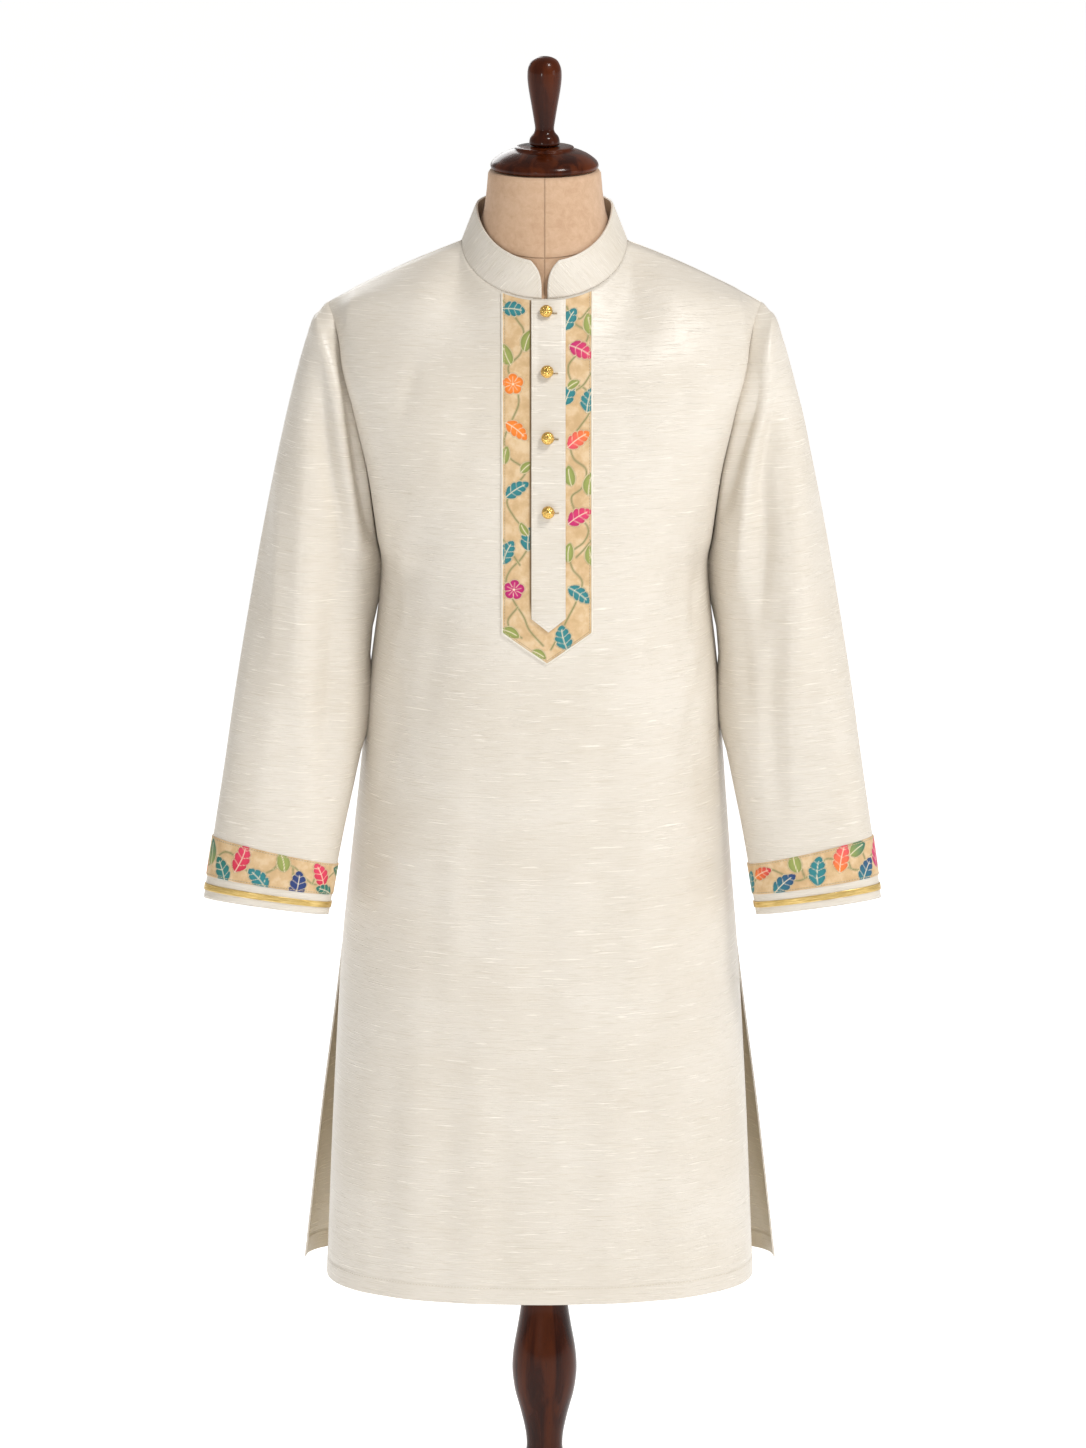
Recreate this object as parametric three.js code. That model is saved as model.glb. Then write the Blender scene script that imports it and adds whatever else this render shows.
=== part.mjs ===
// A knee-length raw silk kurta, buttoned and filled out on a limbless dress form with a turned wooden stand.
// Millimetres, +Z up, floor at Z = 0. The garment's front faces -Y, and +X is on the viewer's right.
import * as THREE from "three";

// Cloth: every piece is a wall, cut apart from its neighbour at the seam.
const WALL = 2;
const COLLAR_WALL = 2.4;
const TRIM_WALL = 1.2;
const SEAM_GAP = 0.3;
const TRIM_LIFT = 0.7;
const STRIP_LIFT = TRIM_LIFT + TRIM_WALL + 0.4;

// Neckline, as two half ellipses that meet at the side neck points, and the shoulder point where a sleeve starts.
// share is the part of a panel's width that its neckline takes.
const NECK = { half: 86, y: 5, front: 83, back: 68, z: 1448, frontDrop: 48, backRise: 2, share: 0.32 };
const SHOULDER = { x: 225, y: 10, z: 1382, crown: 3.5 };
const SLIT_TOP = 701;
const ARMPIT = 1108;
const TOP = 1400;

// Sections of the two body panels from the hem up. station numbers the section, z is its height at the middle and
// zSide at the side edge, half its half width, ySide and yMid its depths there, power the squareness of its curve.
// Above the armpit the side edge is the armhole.
const FRONT_ROWS = [
  { station: 354, z: 354, zSide: 361, half: 223, ySide: -38, yMid: -165, power: 2.3 },
  { station: 530, z: 530, zSide: 532, half: 216, ySide: -24, yMid: -163, power: 2.45 },
  { station: 640, z: 640, zSide: 640, half: 210.5, ySide: -11, yMid: -161, power: 2.4 },
  { station: SLIT_TOP, z: 701, zSide: 701, half: 207, ySide: 0, yMid: -160, power: 2.4 },
  { station: 790, z: 790, zSide: 790, half: 199, ySide: 0, yMid: -158, power: 2.35 },
  { station: 880, z: 880, zSide: 880, half: 191, ySide: 0, yMid: -156, power: 2.3 },
  { station: 1000, z: 1000, zSide: 1000, half: 181, ySide: 0, yMid: -152, power: 2.25 },
  { station: ARMPIT, z: 1106, zSide: 1112, half: 170, ySide: 0, yMid: -148, power: 2.2 },
  { station: 1142, z: 1140, zSide: 1142, half: 174, ySide: -22, yMid: -147, power: 2.15 },
  { station: 1207, z: 1203, zSide: 1207, half: 182.5, ySide: -44, yMid: -143, power: 2.1 },
  { station: 1272, z: 1266, zSide: 1273, half: 197, ySide: -48, yMid: -134, power: 2.05 },
  { station: 1340, z: 1328, zSide: 1343, half: 212.5, ySide: -27, yMid: -118, power: 2 },
];
const BACK_ROWS = [
  { station: 354, z: 350, zSide: 352, half: 248, ySide: 58, yMid: 160, power: 2.3 },
  { station: 530, z: 530, zSide: 531, half: 228, ySide: 36, yMid: 158, power: 2.3 },
  { station: 640, z: 640, zSide: 640, half: 214, ySide: 17, yMid: 155, power: 2.3 },
  { station: SLIT_TOP, z: 701, zSide: 701, half: 207, ySide: 0, yMid: 152, power: 2.3 },
  { station: 790, z: 790, zSide: 790, half: 199, ySide: 0, yMid: 146, power: 2.3 },
  { station: 880, z: 880, zSide: 880, half: 191, ySide: 0, yMid: 136, power: 2.25 },
  { station: 1000, z: 1000, zSide: 1000, half: 181, ySide: 0, yMid: 124, power: 2.2 },
  { station: ARMPIT, z: 1106, zSide: 1112, half: 170, ySide: 0, yMid: 120, power: 2.2 },
  { station: 1142, z: 1140, zSide: 1142, half: 174, ySide: 26, yMid: 121, power: 2.15 },
  { station: 1207, z: 1207, zSide: 1207, half: 182.5, ySide: 52, yMid: 124, power: 2.1 },
  { station: 1272, z: 1275, zSide: 1273, half: 197, ySide: 60, yMid: 124, power: 2.1 },
  { station: 1340, z: 1350, zSide: 1343, half: 212.5, ySide: 44, yMid: 110, power: 2 },
];
// The section over the shoulder lies this share of the way to the seam, pushed out and up to round the shoulder.
const SHOULDER_ROLL = { station: 1372, share: 0.55, out: 9, up: 15 };
// How far the skirt hangs aside, by station.
const LEAN = [
  { station: FRONT_ROWS[0].station, aside: -5 },
  { station: SLIT_TOP, aside: -5 },
  { station: 880, aside: -2.5 },
  { station: ARMPIT - 40, aside: 0 },
  { station: TOP, aside: 0 },
];

// Rings of a sleeve from just past its armhole seam to the cuff edge: its outer and inner points in the front view,
// the depth of its middle, half its depth, how much higher its front lies than its middle, and its squareness.
const SLEEVE_RINGS = [
  { outerX: 236, outerZ: 1375, innerX: 172.5, innerZ: 1101, y: 4, depth: 64, rise: 0, power: 2.1 },
  { outerX: 247, outerZ: 1346, innerX: 174.5, innerZ: 1082, y: 1, depth: 66, rise: 0, power: 2.1 },
  { outerX: 259, outerZ: 1304, innerX: 177, innerZ: 1058, y: -3, depth: 64, rise: 0, power: 2.1 },
  { outerX: 274, outerZ: 1240, innerX: 180, innerZ: 1025, y: -9, depth: 61, rise: 0, power: 2.1 },
  { outerX: 291, outerZ: 1156, innerX: 183, innerZ: 985, y: -20, depth: 58, rise: 0.5, power: 2.1 },
  { outerX: 306, outerZ: 1072, innerX: 186, innerZ: 940, y: -33, depth: 55, rise: 1, power: 2.1 },
  { outerX: 320, outerZ: 987, innerX: 195, innerZ: 893, y: -47, depth: 51, rise: 2, power: 2.1 },
  { outerX: 332, outerZ: 903, innerX: 206, innerZ: 842, y: -63, depth: 46, rise: 3, power: 2.15 },
  { outerX: 344, outerZ: 823, innerX: 214.5, innerZ: 797.5, y: -77, depth: 41, rise: 4, power: 2.2 },
  { outerX: 351.5, outerZ: 771.5, innerX: 222, innerZ: 753.5, y: -87, depth: 38, rise: 5, power: 2.2 },
];

// Soft drag folds of the front, each a trough along a line from its upper to its lower end.
const FRONT_FOLDS = [
  { topX: -152, topZ: 1200, endX: -162, endZ: 1105, width: 13, depth: 3.5 },
  { topX: -121, topZ: 1190, endX: -150, endZ: 1060, width: 17, depth: 4 },
  { topX: 154, topZ: 1196, endX: 163, endZ: 1100, width: 13, depth: 3.5 },
  { topX: 122, topZ: 1192, endX: 158, endZ: 1030, width: 17, depth: 4.5 },
];
// How far each cuff hangs out of the place that the rings give it.
const SLEEVE_SWING = { right: -2, left: 2.5 };
// Long soft folds of each sleeve: share of the way round from the inner point over the front, start and end down
// the sleeve, half width in shares and depth.
const SLEEVE_FOLDS = {
  right: [
    { round: 0.16, start: 50, end: 310, width: 0.045, depth: 5.5 },
    { round: 0.3, start: 150, end: 520, width: 0.045, depth: 4 },
    { round: 0.7, start: 120, end: 420, width: 0.05, depth: 4 },
  ],
  left: [
    { round: 0.19, start: 60, end: 350, width: 0.045, depth: 5 },
    { round: 0.34, start: 170, end: 500, width: 0.04, depth: 3 },
    { round: 0.74, start: 100, end: 380, width: 0.05, depth: 4.5 },
  ],
};

// Collar: how high it stands at the front, sides and back, its top half width and depths, and its rounded front ends.
const COLLAR = { front: 38, side: 38, back: 42, half: 71, topFront: 72, topBack: 68, gap: 3, corner: 12 };

// Placket: the printed border with a pointed end, and the plain strip on it.
const BORDER = { half: 47, corner: 1062, tip: 1030, x: 2.6, lift: TRIM_LIFT };
const STRIP = { half: 17.5, corner: 1078, tip: 1064, x: 4, lift: STRIP_LIFT };
const BUTTON = { radius: 6.7, base: 4.2, height: 8.5 };
// Buttons, from the top down, standing in from the strip's middle.
const BUTTON_PLACES = [
  { x: 1.7, z: 1386 },
  { x: 2.6, z: 1329 },
  { x: 3.2, z: 1264 },
  { x: 3.6, z: 1189 },
];

// Cuff trims: distance of the lower and upper edge from the cuff's edge.
const CUFF_PRINT = { low: 22.5, high: 59.5 };
const CUFF_GOLD = { low: 8, high: 14.5 };

// Dress form: how far it stays inside the cloth, by station, then its neck.
const FORM_BOTTOM = 748;
const FORM_MARGIN = [
  { station: 740, inside: 24 },
  { station: 880, inside: 26 },
  { station: 1000, inside: 22 },
  { station: ARMPIT, inside: 11 },
  { station: 1272, inside: 7 },
  { station: 1340, inside: 4 },
  { station: SHOULDER_ROLL.station, inside: 1.2 },
  { station: TOP, inside: 0.5 },
];
// Rings of the neck above the neckline: how far it has closed in from the neckline to the round neck, and its height.
const NECK_RINGS = [
  { round: 0.5, frontZ: 1408, sideZ: 1456 },
  { round: 0.85, frontZ: 1424, sideZ: 1466 },
  { round: 1, frontZ: 1448, sideZ: 1480 },
  { round: 1, frontZ: 1500, sideZ: 1500 },
  { round: 1, frontZ: 1519, sideZ: 1519 },
];
const NECK_COLUMN = { low: 64.5, high: 58.5, lowZ: 1470, highZ: 1511, rim: 56.5, topZ: 1522, y: -1, deep: 0.97 };

// Turned profiles of the wooden pieces, radius and height, from the axis at the bottom to the axis at the top.
const CAP_PROFILE = [
  [0, 1522.3], [53, 1522.3], [55.8, 1525], [56.2, 1528], [54, 1532], [46, 1538], [37, 1542], [30.5, 1543.6],
  [30.5, 1547.2], [0, 1547.2],
];
const FINIAL_PROFILE = [
  [0, 1547.5], [15.6, 1547.5], [16, 1552], [14.6, 1557], [10.8, 1561], [9.6, 1565], [11, 1574], [13.5, 1589],
  [16.4, 1605], [17.9, 1617], [17.6, 1628], [13.8, 1636.5], [7, 1640], [0, 1640.8],
];
const POST_PROFILE = [
  [0, 32.3], [30, 32.3], [31, 40], [24, 50], [19, 66], [17.5, 96], [19, 124], [24, 132], [26, 141], [24, 150],
  [18.5, 158], [19.5, 176], [25, 200], [31.5, 222], [34.4, 245], [33, 266], [28, 293], [24.6, 314], [22.5, 345],
  [22, 420], [22, FORM_BOTTOM - SEAM_GAP], [0, FORM_BOTTOM - SEAM_GAP],
];
const BASE_PROFILE = [
  [0, 0], [177, 0], [180, 3], [180, 13], [175, 18], [166, 20], [160, 24], [110, 27], [58, 29.5], [46, 32], [0, 32],
];

// How finely each piece is divided.
const NECK_CELLS = 12;
const SIDE_CELLS = 9;
const SKIRT_ROWS = 6;
const WAIST_ROWS = 8;
const ARMHOLE_ROWS = 9;
const SLEEVE_STEPS = 15;
const COLLAR_ROWS = 4;
const LATHE_SIDES = 28;

const CLOTH = { color: 0xe9e2d0, roughness: 0.55, metalness: 0 };
const PRINT = { color: 0xdcb987, roughness: 0.65, metalness: 0 };
const GOLD = { color: 0xc9a24a, roughness: 0.35, metalness: 0.9 };
const COVER = { color: 0xcdb395, roughness: 0.85, metalness: 0 };
const WOOD = { color: 0x44160b, roughness: 0.2, metalness: 0 };

const group = new THREE.Group();

function addMesh(name, geometry, finish) {
  const mesh = new THREE.Mesh(geometry, new THREE.MeshStandardMaterial(finish));
  mesh.name = name;
  group.add(mesh);
}

const vector = (x, y, z) => new THREE.Vector3(x, y, z);
const mix = (a, b, share) => a + (b - a) * share;
const steps = (count) => Array.from({ length: count + 1 }, (_, i) => i / count);
const smooth = (low, high, value) => THREE.MathUtils.smoothstep(value, low, high);
const signedPower = (value, exponent) => Math.sign(value) * Math.abs(value) ** exponent;

// A smooth curve through values at rising stations that never swings past them (monotone cubic).
function monotone(stations, values) {
  const last = stations.length - 1;
  const slopes = stations.slice(1).map((s, k) => (values[k + 1] - values[k]) / (s - stations[k]));
  const tangents = stations.map((_, k) => {
    if (k === 0) return slopes[0];
    if (k === last) return slopes[last - 1];
    const product = slopes[k - 1] * slopes[k];
    return product <= 0 ? 0 : (2 * product) / (slopes[k - 1] + slopes[k]);
  });
  return (at) => {
    let k = 0;
    while (k < last - 1 && at > stations[k + 1]) k++;
    const span = stations[k + 1] - stations[k];
    const s = (at - stations[k]) / span;
    const rise = s * s * (3 - 2 * s);
    const start = s * (1 - s) * (1 - s) * span * tangents[k];
    const end = s * s * (s - 1) * span * tangents[k + 1];
    return mix(values[k], values[k + 1], rise) + start + end;
  };
}

// The same curve through points.
function curveThrough(stations, points) {
  const [x, y, z] = ["x", "y", "z"].map((axis) => monotone(stations, points.map((p) => p[axis])));
  return (at) => vector(x(at), y(at), z(at));
}

const lean = monotone(LEAN.map((l) => l.station), LEAN.map((l) => l.aside));

// Point of a panel's section at across, from -1 at the left edge to 1 at the right one: a quarter turn each way round
// a superellipse from its middle.
function sectionPoint(row, across) {
  const angle = (across * Math.PI) / 2;
  const reach = signedPower(Math.sin(angle), 2 / row.power);
  const fore = Math.abs(Math.cos(angle)) ** (2 / row.power);
  return vector(row.half * reach, mix(row.ySide, row.yMid, fore), mix(row.zSide, row.z, fore));
}

// Point of a panel's top edge: the neckline, then the shoulder seam.
function topPoint(across, isFront) {
  const aside = Math.abs(across);
  const side = Math.sign(across);
  if (aside > NECK.share) {
    const along = (aside - NECK.share) / (1 - NECK.share);
    const x = mix(NECK.half, SHOULDER.x, along);
    const z = mix(NECK.z, SHOULDER.z, along) + SHOULDER.crown * Math.sin(Math.PI * along);
    return vector(side * x, mix(NECK.y, SHOULDER.y, along), z);
  }
  const angle = (across / NECK.share) * (Math.PI / 2);
  const fore = Math.cos(angle);
  const y = isFront ? NECK.y - NECK.front * fore : NECK.y + NECK.back * fore;
  const z = isFront ? NECK.z - NECK.frontDrop * fore : NECK.z + NECK.backRise * fore;
  return vector(NECK.half * Math.sin(angle), y, z);
}

// Smooth column of a panel, from hem to top, at a place across it.
function panelColumn(across, isFront) {
  const rows = isFront ? FRONT_ROWS : BACK_ROWS;
  const out = isFront ? -1 : 1;
  const points = rows.map((row) => sectionPoint(row, across));
  const top = topPoint(across, isFront);
  const aside = Math.abs(across);
  const lift = smooth(NECK.share - 0.12, NECK.share + 0.18, aside) * (1 - 0.6 * smooth(0.85, 1, aside));
  const roll = points.at(-1).clone().lerp(top, SHOULDER_ROLL.share);
  roll.y += out * SHOULDER_ROLL.out * lift;
  roll.z += SHOULDER_ROLL.up * lift;
  const stations = [...rows.map((row) => row.station), SHOULDER_ROLL.station, TOP];
  const curve = curveThrough(stations, [...points, roll, top]);
  return (station) => {
    const point = curve(station);
    point.x += lean(station);
    point.y += (out * SEAM_GAP) / 2;
    return point;
  };
}

// How deep the front's drag folds are at a point; they die out at the side seam.
function frontFoldDepth(point, across) {
  let total = 0;
  for (const fold of FRONT_FOLDS) {
    const along = (fold.topZ - point.z) / (fold.topZ - fold.endZ);
    if (along <= 0 || along >= 1) continue;
    const across = (point.x - mix(fold.topX, fold.endX, along)) / fold.width;
    total += fold.depth * Math.sin(Math.PI * along) ** 1.2 * Math.exp(-across * across);
  }
  return total * (1 - smooth(0.84, 0.96, Math.abs(across)));
}

// Outward normals of a grid of points, rows by columns; turn is 1 or -1 for the way the grid runs.
function gridNormals(grid, isLoop, turn) {
  const rows = grid.length;
  const columns = grid[0].length;
  return grid.map((line, i) =>
    line.map((_, j) => {
      const above = grid[Math.min(i + 1, rows - 1)][j];
      const below = grid[Math.max(i - 1, 0)][j];
      const right = isLoop ? line[(j + 1) % columns] : line[Math.min(j + 1, columns - 1)];
      const left = isLoop ? line[(j + columns - 1) % columns] : line[Math.max(j - 1, 0)];
      const along = right.clone().sub(left);
      return along.cross(above.clone().sub(below)).normalize().multiplyScalar(turn);
    }),
  );
}

const moved = (grid, normals, distance) =>
  grid.map((line, i) => line.map((p, j) => p.clone().addScaledVector(normals[i][j], distance)));
const mirrored = (grid) => grid.map((line) => line.map((p) => vector(-p.x, p.y, p.z)));

// A closed mesh from triangles given as triples of points, turned to face outwards.
function closedGeometry(triangles) {
  const volume = triangles.reduce((sum, [a, b, c]) => sum + a.dot(b.clone().cross(c)), 0);
  const facing = volume < 0 ? triangles.map(([a, b, c]) => [a, c, b]) : triangles;
  return new THREE.BufferGeometry().setFromPoints(facing.flat());
}

// Triangles of a grid of quads, skipping those that have shrunk to nothing. Half of them are cut along the other
// diagonal, the left half of an open grid or the second half of a ring, so that the shape stays the same mirrored.
function gridTriangles(grid, isLoop = false, isCrossed = (j, cells) => (isLoop ? j >= cells / 2 : j < cells / 2)) {
  const triangles = [];
  const columns = grid[0].length;
  const cells = isLoop ? columns : columns - 1;
  const keep = (a, b, c) => {
    if (a.distanceTo(b) > 1e-6 && b.distanceTo(c) > 1e-6 && c.distanceTo(a) > 1e-6) triangles.push([a, b, c]);
  };
  for (let i = 0; i < grid.length - 1; i++) {
    for (let j = 0; j < cells; j++) {
      const k = (j + 1) % columns;
      const [a, b, c, d] = [grid[i][j], grid[i][k], grid[i + 1][k], grid[i + 1][j]];
      if (isCrossed(j, cells)) {
        keep(a, b, d);
        keep(b, c, d);
      } else {
        keep(a, b, c);
        keep(a, c, d);
      }
    }
  }
  return triangles;
}

const flipped = (triangles) => triangles.map(([a, b, c]) => [a, c, b]);

// A cloth wall between an outer and an inner grid: its inside, its outside, then its rims.
function wallGeometry(outer, inner, isLoop = false) {
  const triangles = [...flipped(gridTriangles(inner, isLoop)), ...gridTriangles(outer, isLoop)];
  triangles.push(...gridTriangles([inner[0], outer[0]], isLoop));
  triangles.push(...gridTriangles([outer.at(-1), inner.at(-1)], isLoop));
  if (!isLoop) {
    const edge = (grid, at) => grid.map((line) => line.at(at));
    triangles.push(...gridTriangles([edge(outer, 0), edge(inner, 0)], false, () => true));
    triangles.push(...gridTriangles([edge(inner, -1), edge(outer, -1)], false, () => false));
  }
  return closedGeometry(triangles);
}

// Stations of the panels' rows: skirt, waist to armpit, armhole.
const PANEL_STATIONS = [
  ...steps(SKIRT_ROWS).map((s) => mix(FRONT_ROWS[0].station, SLIT_TOP, s)),
  ...steps(WAIST_ROWS).slice(1).map((s) => mix(SLIT_TOP, ARMPIT, s)),
  ...steps(ARMHOLE_ROWS).slice(1).map((s) => mix(ARMPIT, TOP, s)),
];
const ARMPIT_ROW = SKIRT_ROWS + WAIST_ROWS;

// A panel's places across, closer together at the neckline and with one at each side neck point.
const PANEL_ACROSS = (() => {
  const neck = steps(NECK_CELLS).map((s) => mix(-NECK.share, NECK.share, s));
  const left = steps(SIDE_CELLS).slice(0, -1).map((s) => mix(-1, -NECK.share, s));
  return [...left, ...neck, ...left.map((across) => -across).reverse()];
})();

// Outer and inner grids of a body panel. Along the side and shoulder seams the rim stands square to the seam.
function panelGrids(isFront) {
  const columns = PANEL_ACROSS.map((across) => panelColumn(across, isFront));
  const plain = PANEL_STATIONS.map((station) => columns.map((column) => column(station)));
  const outer = plain.map((line) =>
    line.map((p, j) => (isFront ? vector(p.x, p.y + frontFoldDepth(p, PANEL_ACROSS[j]), p.z) : p.clone())),
  );
  const normals = gridNormals(plain, false, isFront ? 1 : -1);
  const last = normals.length - 1;
  normals.forEach((line, i) =>
    line.forEach((normal, j) => {
      const isSideSeam = (j === 0 || j === line.length - 1) && i <= ARMPIT_ROW;
      const isShoulderSeam = i === last && Math.abs(PANEL_ACROSS[j]) >= NECK.share - 1e-6;
      if (isSideSeam || isShoulderSeam) normal.setY(0).normalize();
    }),
  );
  return { plain, outer, normals, inner: moved(outer, normals, -WALL) };
}

const front = panelGrids(true);
const back = panelGrids(false);

function buildPanels() {
  addMesh("kurta_front", wallGeometry(front.outer, front.inner), CLOTH);
  addMesh("kurta_back", wallGeometry(back.outer, back.inner), CLOTH);
}

// The right armhole's edge as a closed ring of points: up the front panel, down the back one, set off by the seam.
function armholeRing(kind) {
  const edge = (panel) =>
    panel[kind].slice(ARMPIT_ROW).map((line, i) => {
      const outer = panel.outer[ARMPIT_ROW + i];
      const away = outer.at(-1).clone().sub(outer.at(-2)).normalize();
      return line.at(-1).clone().addScaledVector(away, SEAM_GAP + 0.1);
    });
  const up = edge(front);
  const down = edge(back).reverse();
  const top = up.at(-1).clone().lerp(down[0], 0.5);
  const bottom = up[0].clone().lerp(down.at(-1), 0.5);
  return [bottom, ...up.slice(1, -1), top, ...down.slice(1, -1)];
}

// Share of the way round for each point of a ring: 0 at the armpit, a half at the shoulder.
function ringShares(ring) {
  const half = ring.length / 2;
  const lengths = ring.map((p, j) => p.distanceTo(ring[(j + 1) % ring.length]));
  const total = (from) => lengths.slice(from, from + half).reduce((a, b) => a + b, 0);
  const totals = [total(0), total(half)];
  let run = 0;
  return ring.map((_, j) => {
    if (j === half) run = 0;
    const isDown = j >= half;
    const share = (isDown ? 0.5 : 0) + (0.5 * run) / totals[isDown ? 1 : 0];
    run += lengths[j];
    return share;
  });
}

function sleeveRingPoint(ring, share) {
  const angle = share * 2 * Math.PI;
  const reach = signedPower(-Math.cos(angle), 2 / ring.power);
  const fore = signedPower(Math.sin(angle), 2 / ring.power);
  const x = (ring.outerX + ring.innerX) / 2 + ((ring.outerX - ring.innerX) / 2) * reach;
  const z = (ring.outerZ + ring.innerZ) / 2 + ((ring.outerZ - ring.innerZ) / 2) * reach;
  return vector(x, ring.y - ring.depth * fore, z + ring.rise * fore);
}

// The right sleeve as a function of a distance down it and a column round it.
function makeSleeve() {
  const start = armholeRing("outer");
  const shares = ringShares(start);
  const rings = [start, ...SLEEVE_RINGS.map((ring) => shares.map((share) => sleeveRingPoint(ring, share)))];
  const half = start.length / 2;
  const distances = [0];
  for (let k = 1; k < rings.length; k++) {
    const fall = (j) => rings[k][j].distanceTo(rings[k - 1][j]);
    distances.push(distances[k - 1] + (fall(0) + fall(half)) / 2);
  }
  const columns = shares.map((_, j) => curveThrough(distances, rings.map((ring) => ring[j])));
  return { length: distances.at(-1), shares, ringAt: (distance) => columns.map((column) => column(distance)) };
}

const sleeve = makeSleeve();

// How deep a sleeve's long folds are.
function sleeveFoldDepth(folds, distance, share) {
  let total = 0;
  for (const fold of folds) {
    const along = (distance - fold.start) / (fold.end - fold.start);
    if (along <= 0 || along >= 1) continue;
    const across = (share - fold.round) / fold.width;
    total += fold.depth * Math.sin(Math.PI * along) * Math.exp(-across * across);
  }
  return total;
}

// Rings of one sleeve at distances down it, still on the right side.
function sleeveGrid(side, distances) {
  return distances.map((distance) => {
    const swing = SLEEVE_SWING[side] * (distance / sleeve.length) ** 2;
    return sleeve.ringAt(distance).map((p) => vector(p.x + swing, p.y, p.z));
  });
}

function addSleevePiece(name, side, outer, inner, finish) {
  const place = side === "left" ? mirrored : (grid) => grid;
  addMesh(name + "_" + side, wallGeometry(place(outer), place(inner), true), finish);
}

function buildSleeve(side) {
  const distances = [0, 7, ...steps(SLEEVE_STEPS).slice(1).map((s) => mix(7, sleeve.length, s))];
  const plain = sleeveGrid(side, distances);
  const normals = gridNormals(plain, true, -1);
  const outer = plain.map((line, i) =>
    line.map((p, j) => {
      const depth = sleeveFoldDepth(SLEEVE_FOLDS[side], distances[i], sleeve.shares[j]);
      return p.clone().addScaledVector(normals[i][j], -depth);
    }),
  );
  const inner = moved(outer, normals, -WALL);
  inner[0] = armholeRing("inner");
  addSleevePiece("sleeve", side, outer, inner, CLOTH);
}

// A band round a sleeve between two distances from the cuff edge.
function buildCuffTrim(name, side, trim, finish) {
  const grid = sleeveGrid(side, [sleeve.length - trim.high, sleeve.length - trim.low]);
  const normals = gridNormals(grid, true, -1);
  const outer = moved(grid, normals, TRIM_LIFT + TRIM_WALL);
  addSleevePiece(name, side, outer, moved(grid, normals, TRIM_LIFT), finish);
}

// Collar: a band from the neckline to a narrower top edge, open at the front, its front ends rounded at the top.
function collarBase(angle) {
  const isFront = Math.cos(angle) > 0;
  const across = (Math.abs(angle) > Math.PI / 2 ? Math.PI - Math.abs(angle) : Math.abs(angle)) / (Math.PI / 2);
  const point = topPoint(Math.sign(angle) * across * NECK.share, isFront);
  point.z += SEAM_GAP + 0.1;
  return point;
}

function collarTop(angle) {
  const fore = Math.cos(angle);
  const height = fore > 0 ? mix(COLLAR.side, COLLAR.front, fore) : mix(COLLAR.side, COLLAR.back, -fore);
  const depth = fore > 0 ? COLLAR.topFront + NECK.y : COLLAR.topBack - NECK.y;
  return vector(COLLAR.half * Math.sin(angle), NECK.y - depth * fore, collarBase(angle).z + height);
}

function buildCollar() {
  const inner = steps(2 * NECK_CELLS).slice(1, -1);
  const grid = steps(COLLAR_ROWS).map((rise) => {
    const gap = COLLAR.gap + COLLAR.corner * rise ** 4;
    const start = Math.asin(gap / mix(NECK.half, COLLAR.half, rise)) / (2 * Math.PI);
    return [start, ...inner, 1 - start].map((along) => {
      const angle = 2 * Math.PI * (along > 0.5 ? along - 1 : along);
      return collarBase(angle).lerp(collarTop(angle), rise);
    });
  });
  const normals = gridNormals(grid, false, 1);
  addMesh("collar_band", wallGeometry(grid, moved(grid, normals, -COLLAR_WALL)), CLOTH);
}

// Point of the front's outer surface at a station, at x in the front view, found by Newton steps.
function onFrontAt(x, station) {
  const nudge = 1e-3;
  let across = x / 240;
  for (let turn = 0; turn < 8; turn++) {
    const here = panelColumn(across, true)(station).x;
    const slope = (panelColumn(across + nudge, true)(station).x - here) / nudge;
    across += (x - here) / slope;
  }
  return panelColumn(across, true)(station);
}

// Point of the front's outer surface at a place in the front view, found by Newton steps on its two parameters.
function onFront(x, z) {
  const surface = (across, station) => panelColumn(across, true)(station);
  const nudge = 1e-3;
  let across = x / 240;
  let station = z;
  for (let turn = 0; turn < 12; turn++) {
    const here = surface(across, station);
    const byAcross = surface(across + nudge, station).sub(here).divideScalar(nudge);
    const byStation = surface(across, station - nudge).sub(here).divideScalar(-nudge);
    const det = byAcross.x * byStation.z - byStation.x * byAcross.z;
    const missX = x - here.x;
    const missZ = z - here.z;
    across += (missX * byStation.z - missZ * byStation.x) / det;
    station = Math.min(station + (missZ * byAcross.x - missX * byAcross.z) / det, TOP - 1e-3);
  }
  return surface(across, station);
}

// A pointed strip on the front: straight sides, then a point, its top cut to the neckline. Its rows are the panel's.
function placketGrid(piece, columns) {
  const neckZ = (x) => NECK.z - NECK.frontDrop * Math.sqrt(1 - (x / NECK.half) ** 2) - 2.5;
  const places = steps(columns).map((s) => mix(-1, 1, s));
  const stations = PANEL_STATIONS.filter((s) => s > piece.corner + 6 && s < TOP - 20);
  const lines = [
    places.map((aside) => onFront(piece.x + piece.half * aside, mix(piece.tip, piece.corner, Math.abs(aside)))),
    ...stations.map((s) => places.map((aside) => onFrontAt(piece.x + piece.half * aside, s))),
    places.map((aside) => onFront(piece.x + piece.half * aside, neckZ(piece.x + piece.half * aside))),
  ];
  const normals = gridNormals(lines, false, 1);
  return { lines, normals };
}

function buildPlacket() {
  const pieces = [
    { name: "placket_border", piece: BORDER, columns: 6, finish: PRINT },
    { name: "placket_strip", piece: STRIP, columns: 2, finish: CLOTH },
  ];
  for (const { name, piece, columns, finish } of pieces) {
    const { lines, normals } = placketGrid(piece, columns);
    const outer = moved(lines, normals, piece.lift + TRIM_WALL);
    addMesh(name, wallGeometry(outer, moved(lines, normals, piece.lift)), finish);
  }
}

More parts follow.
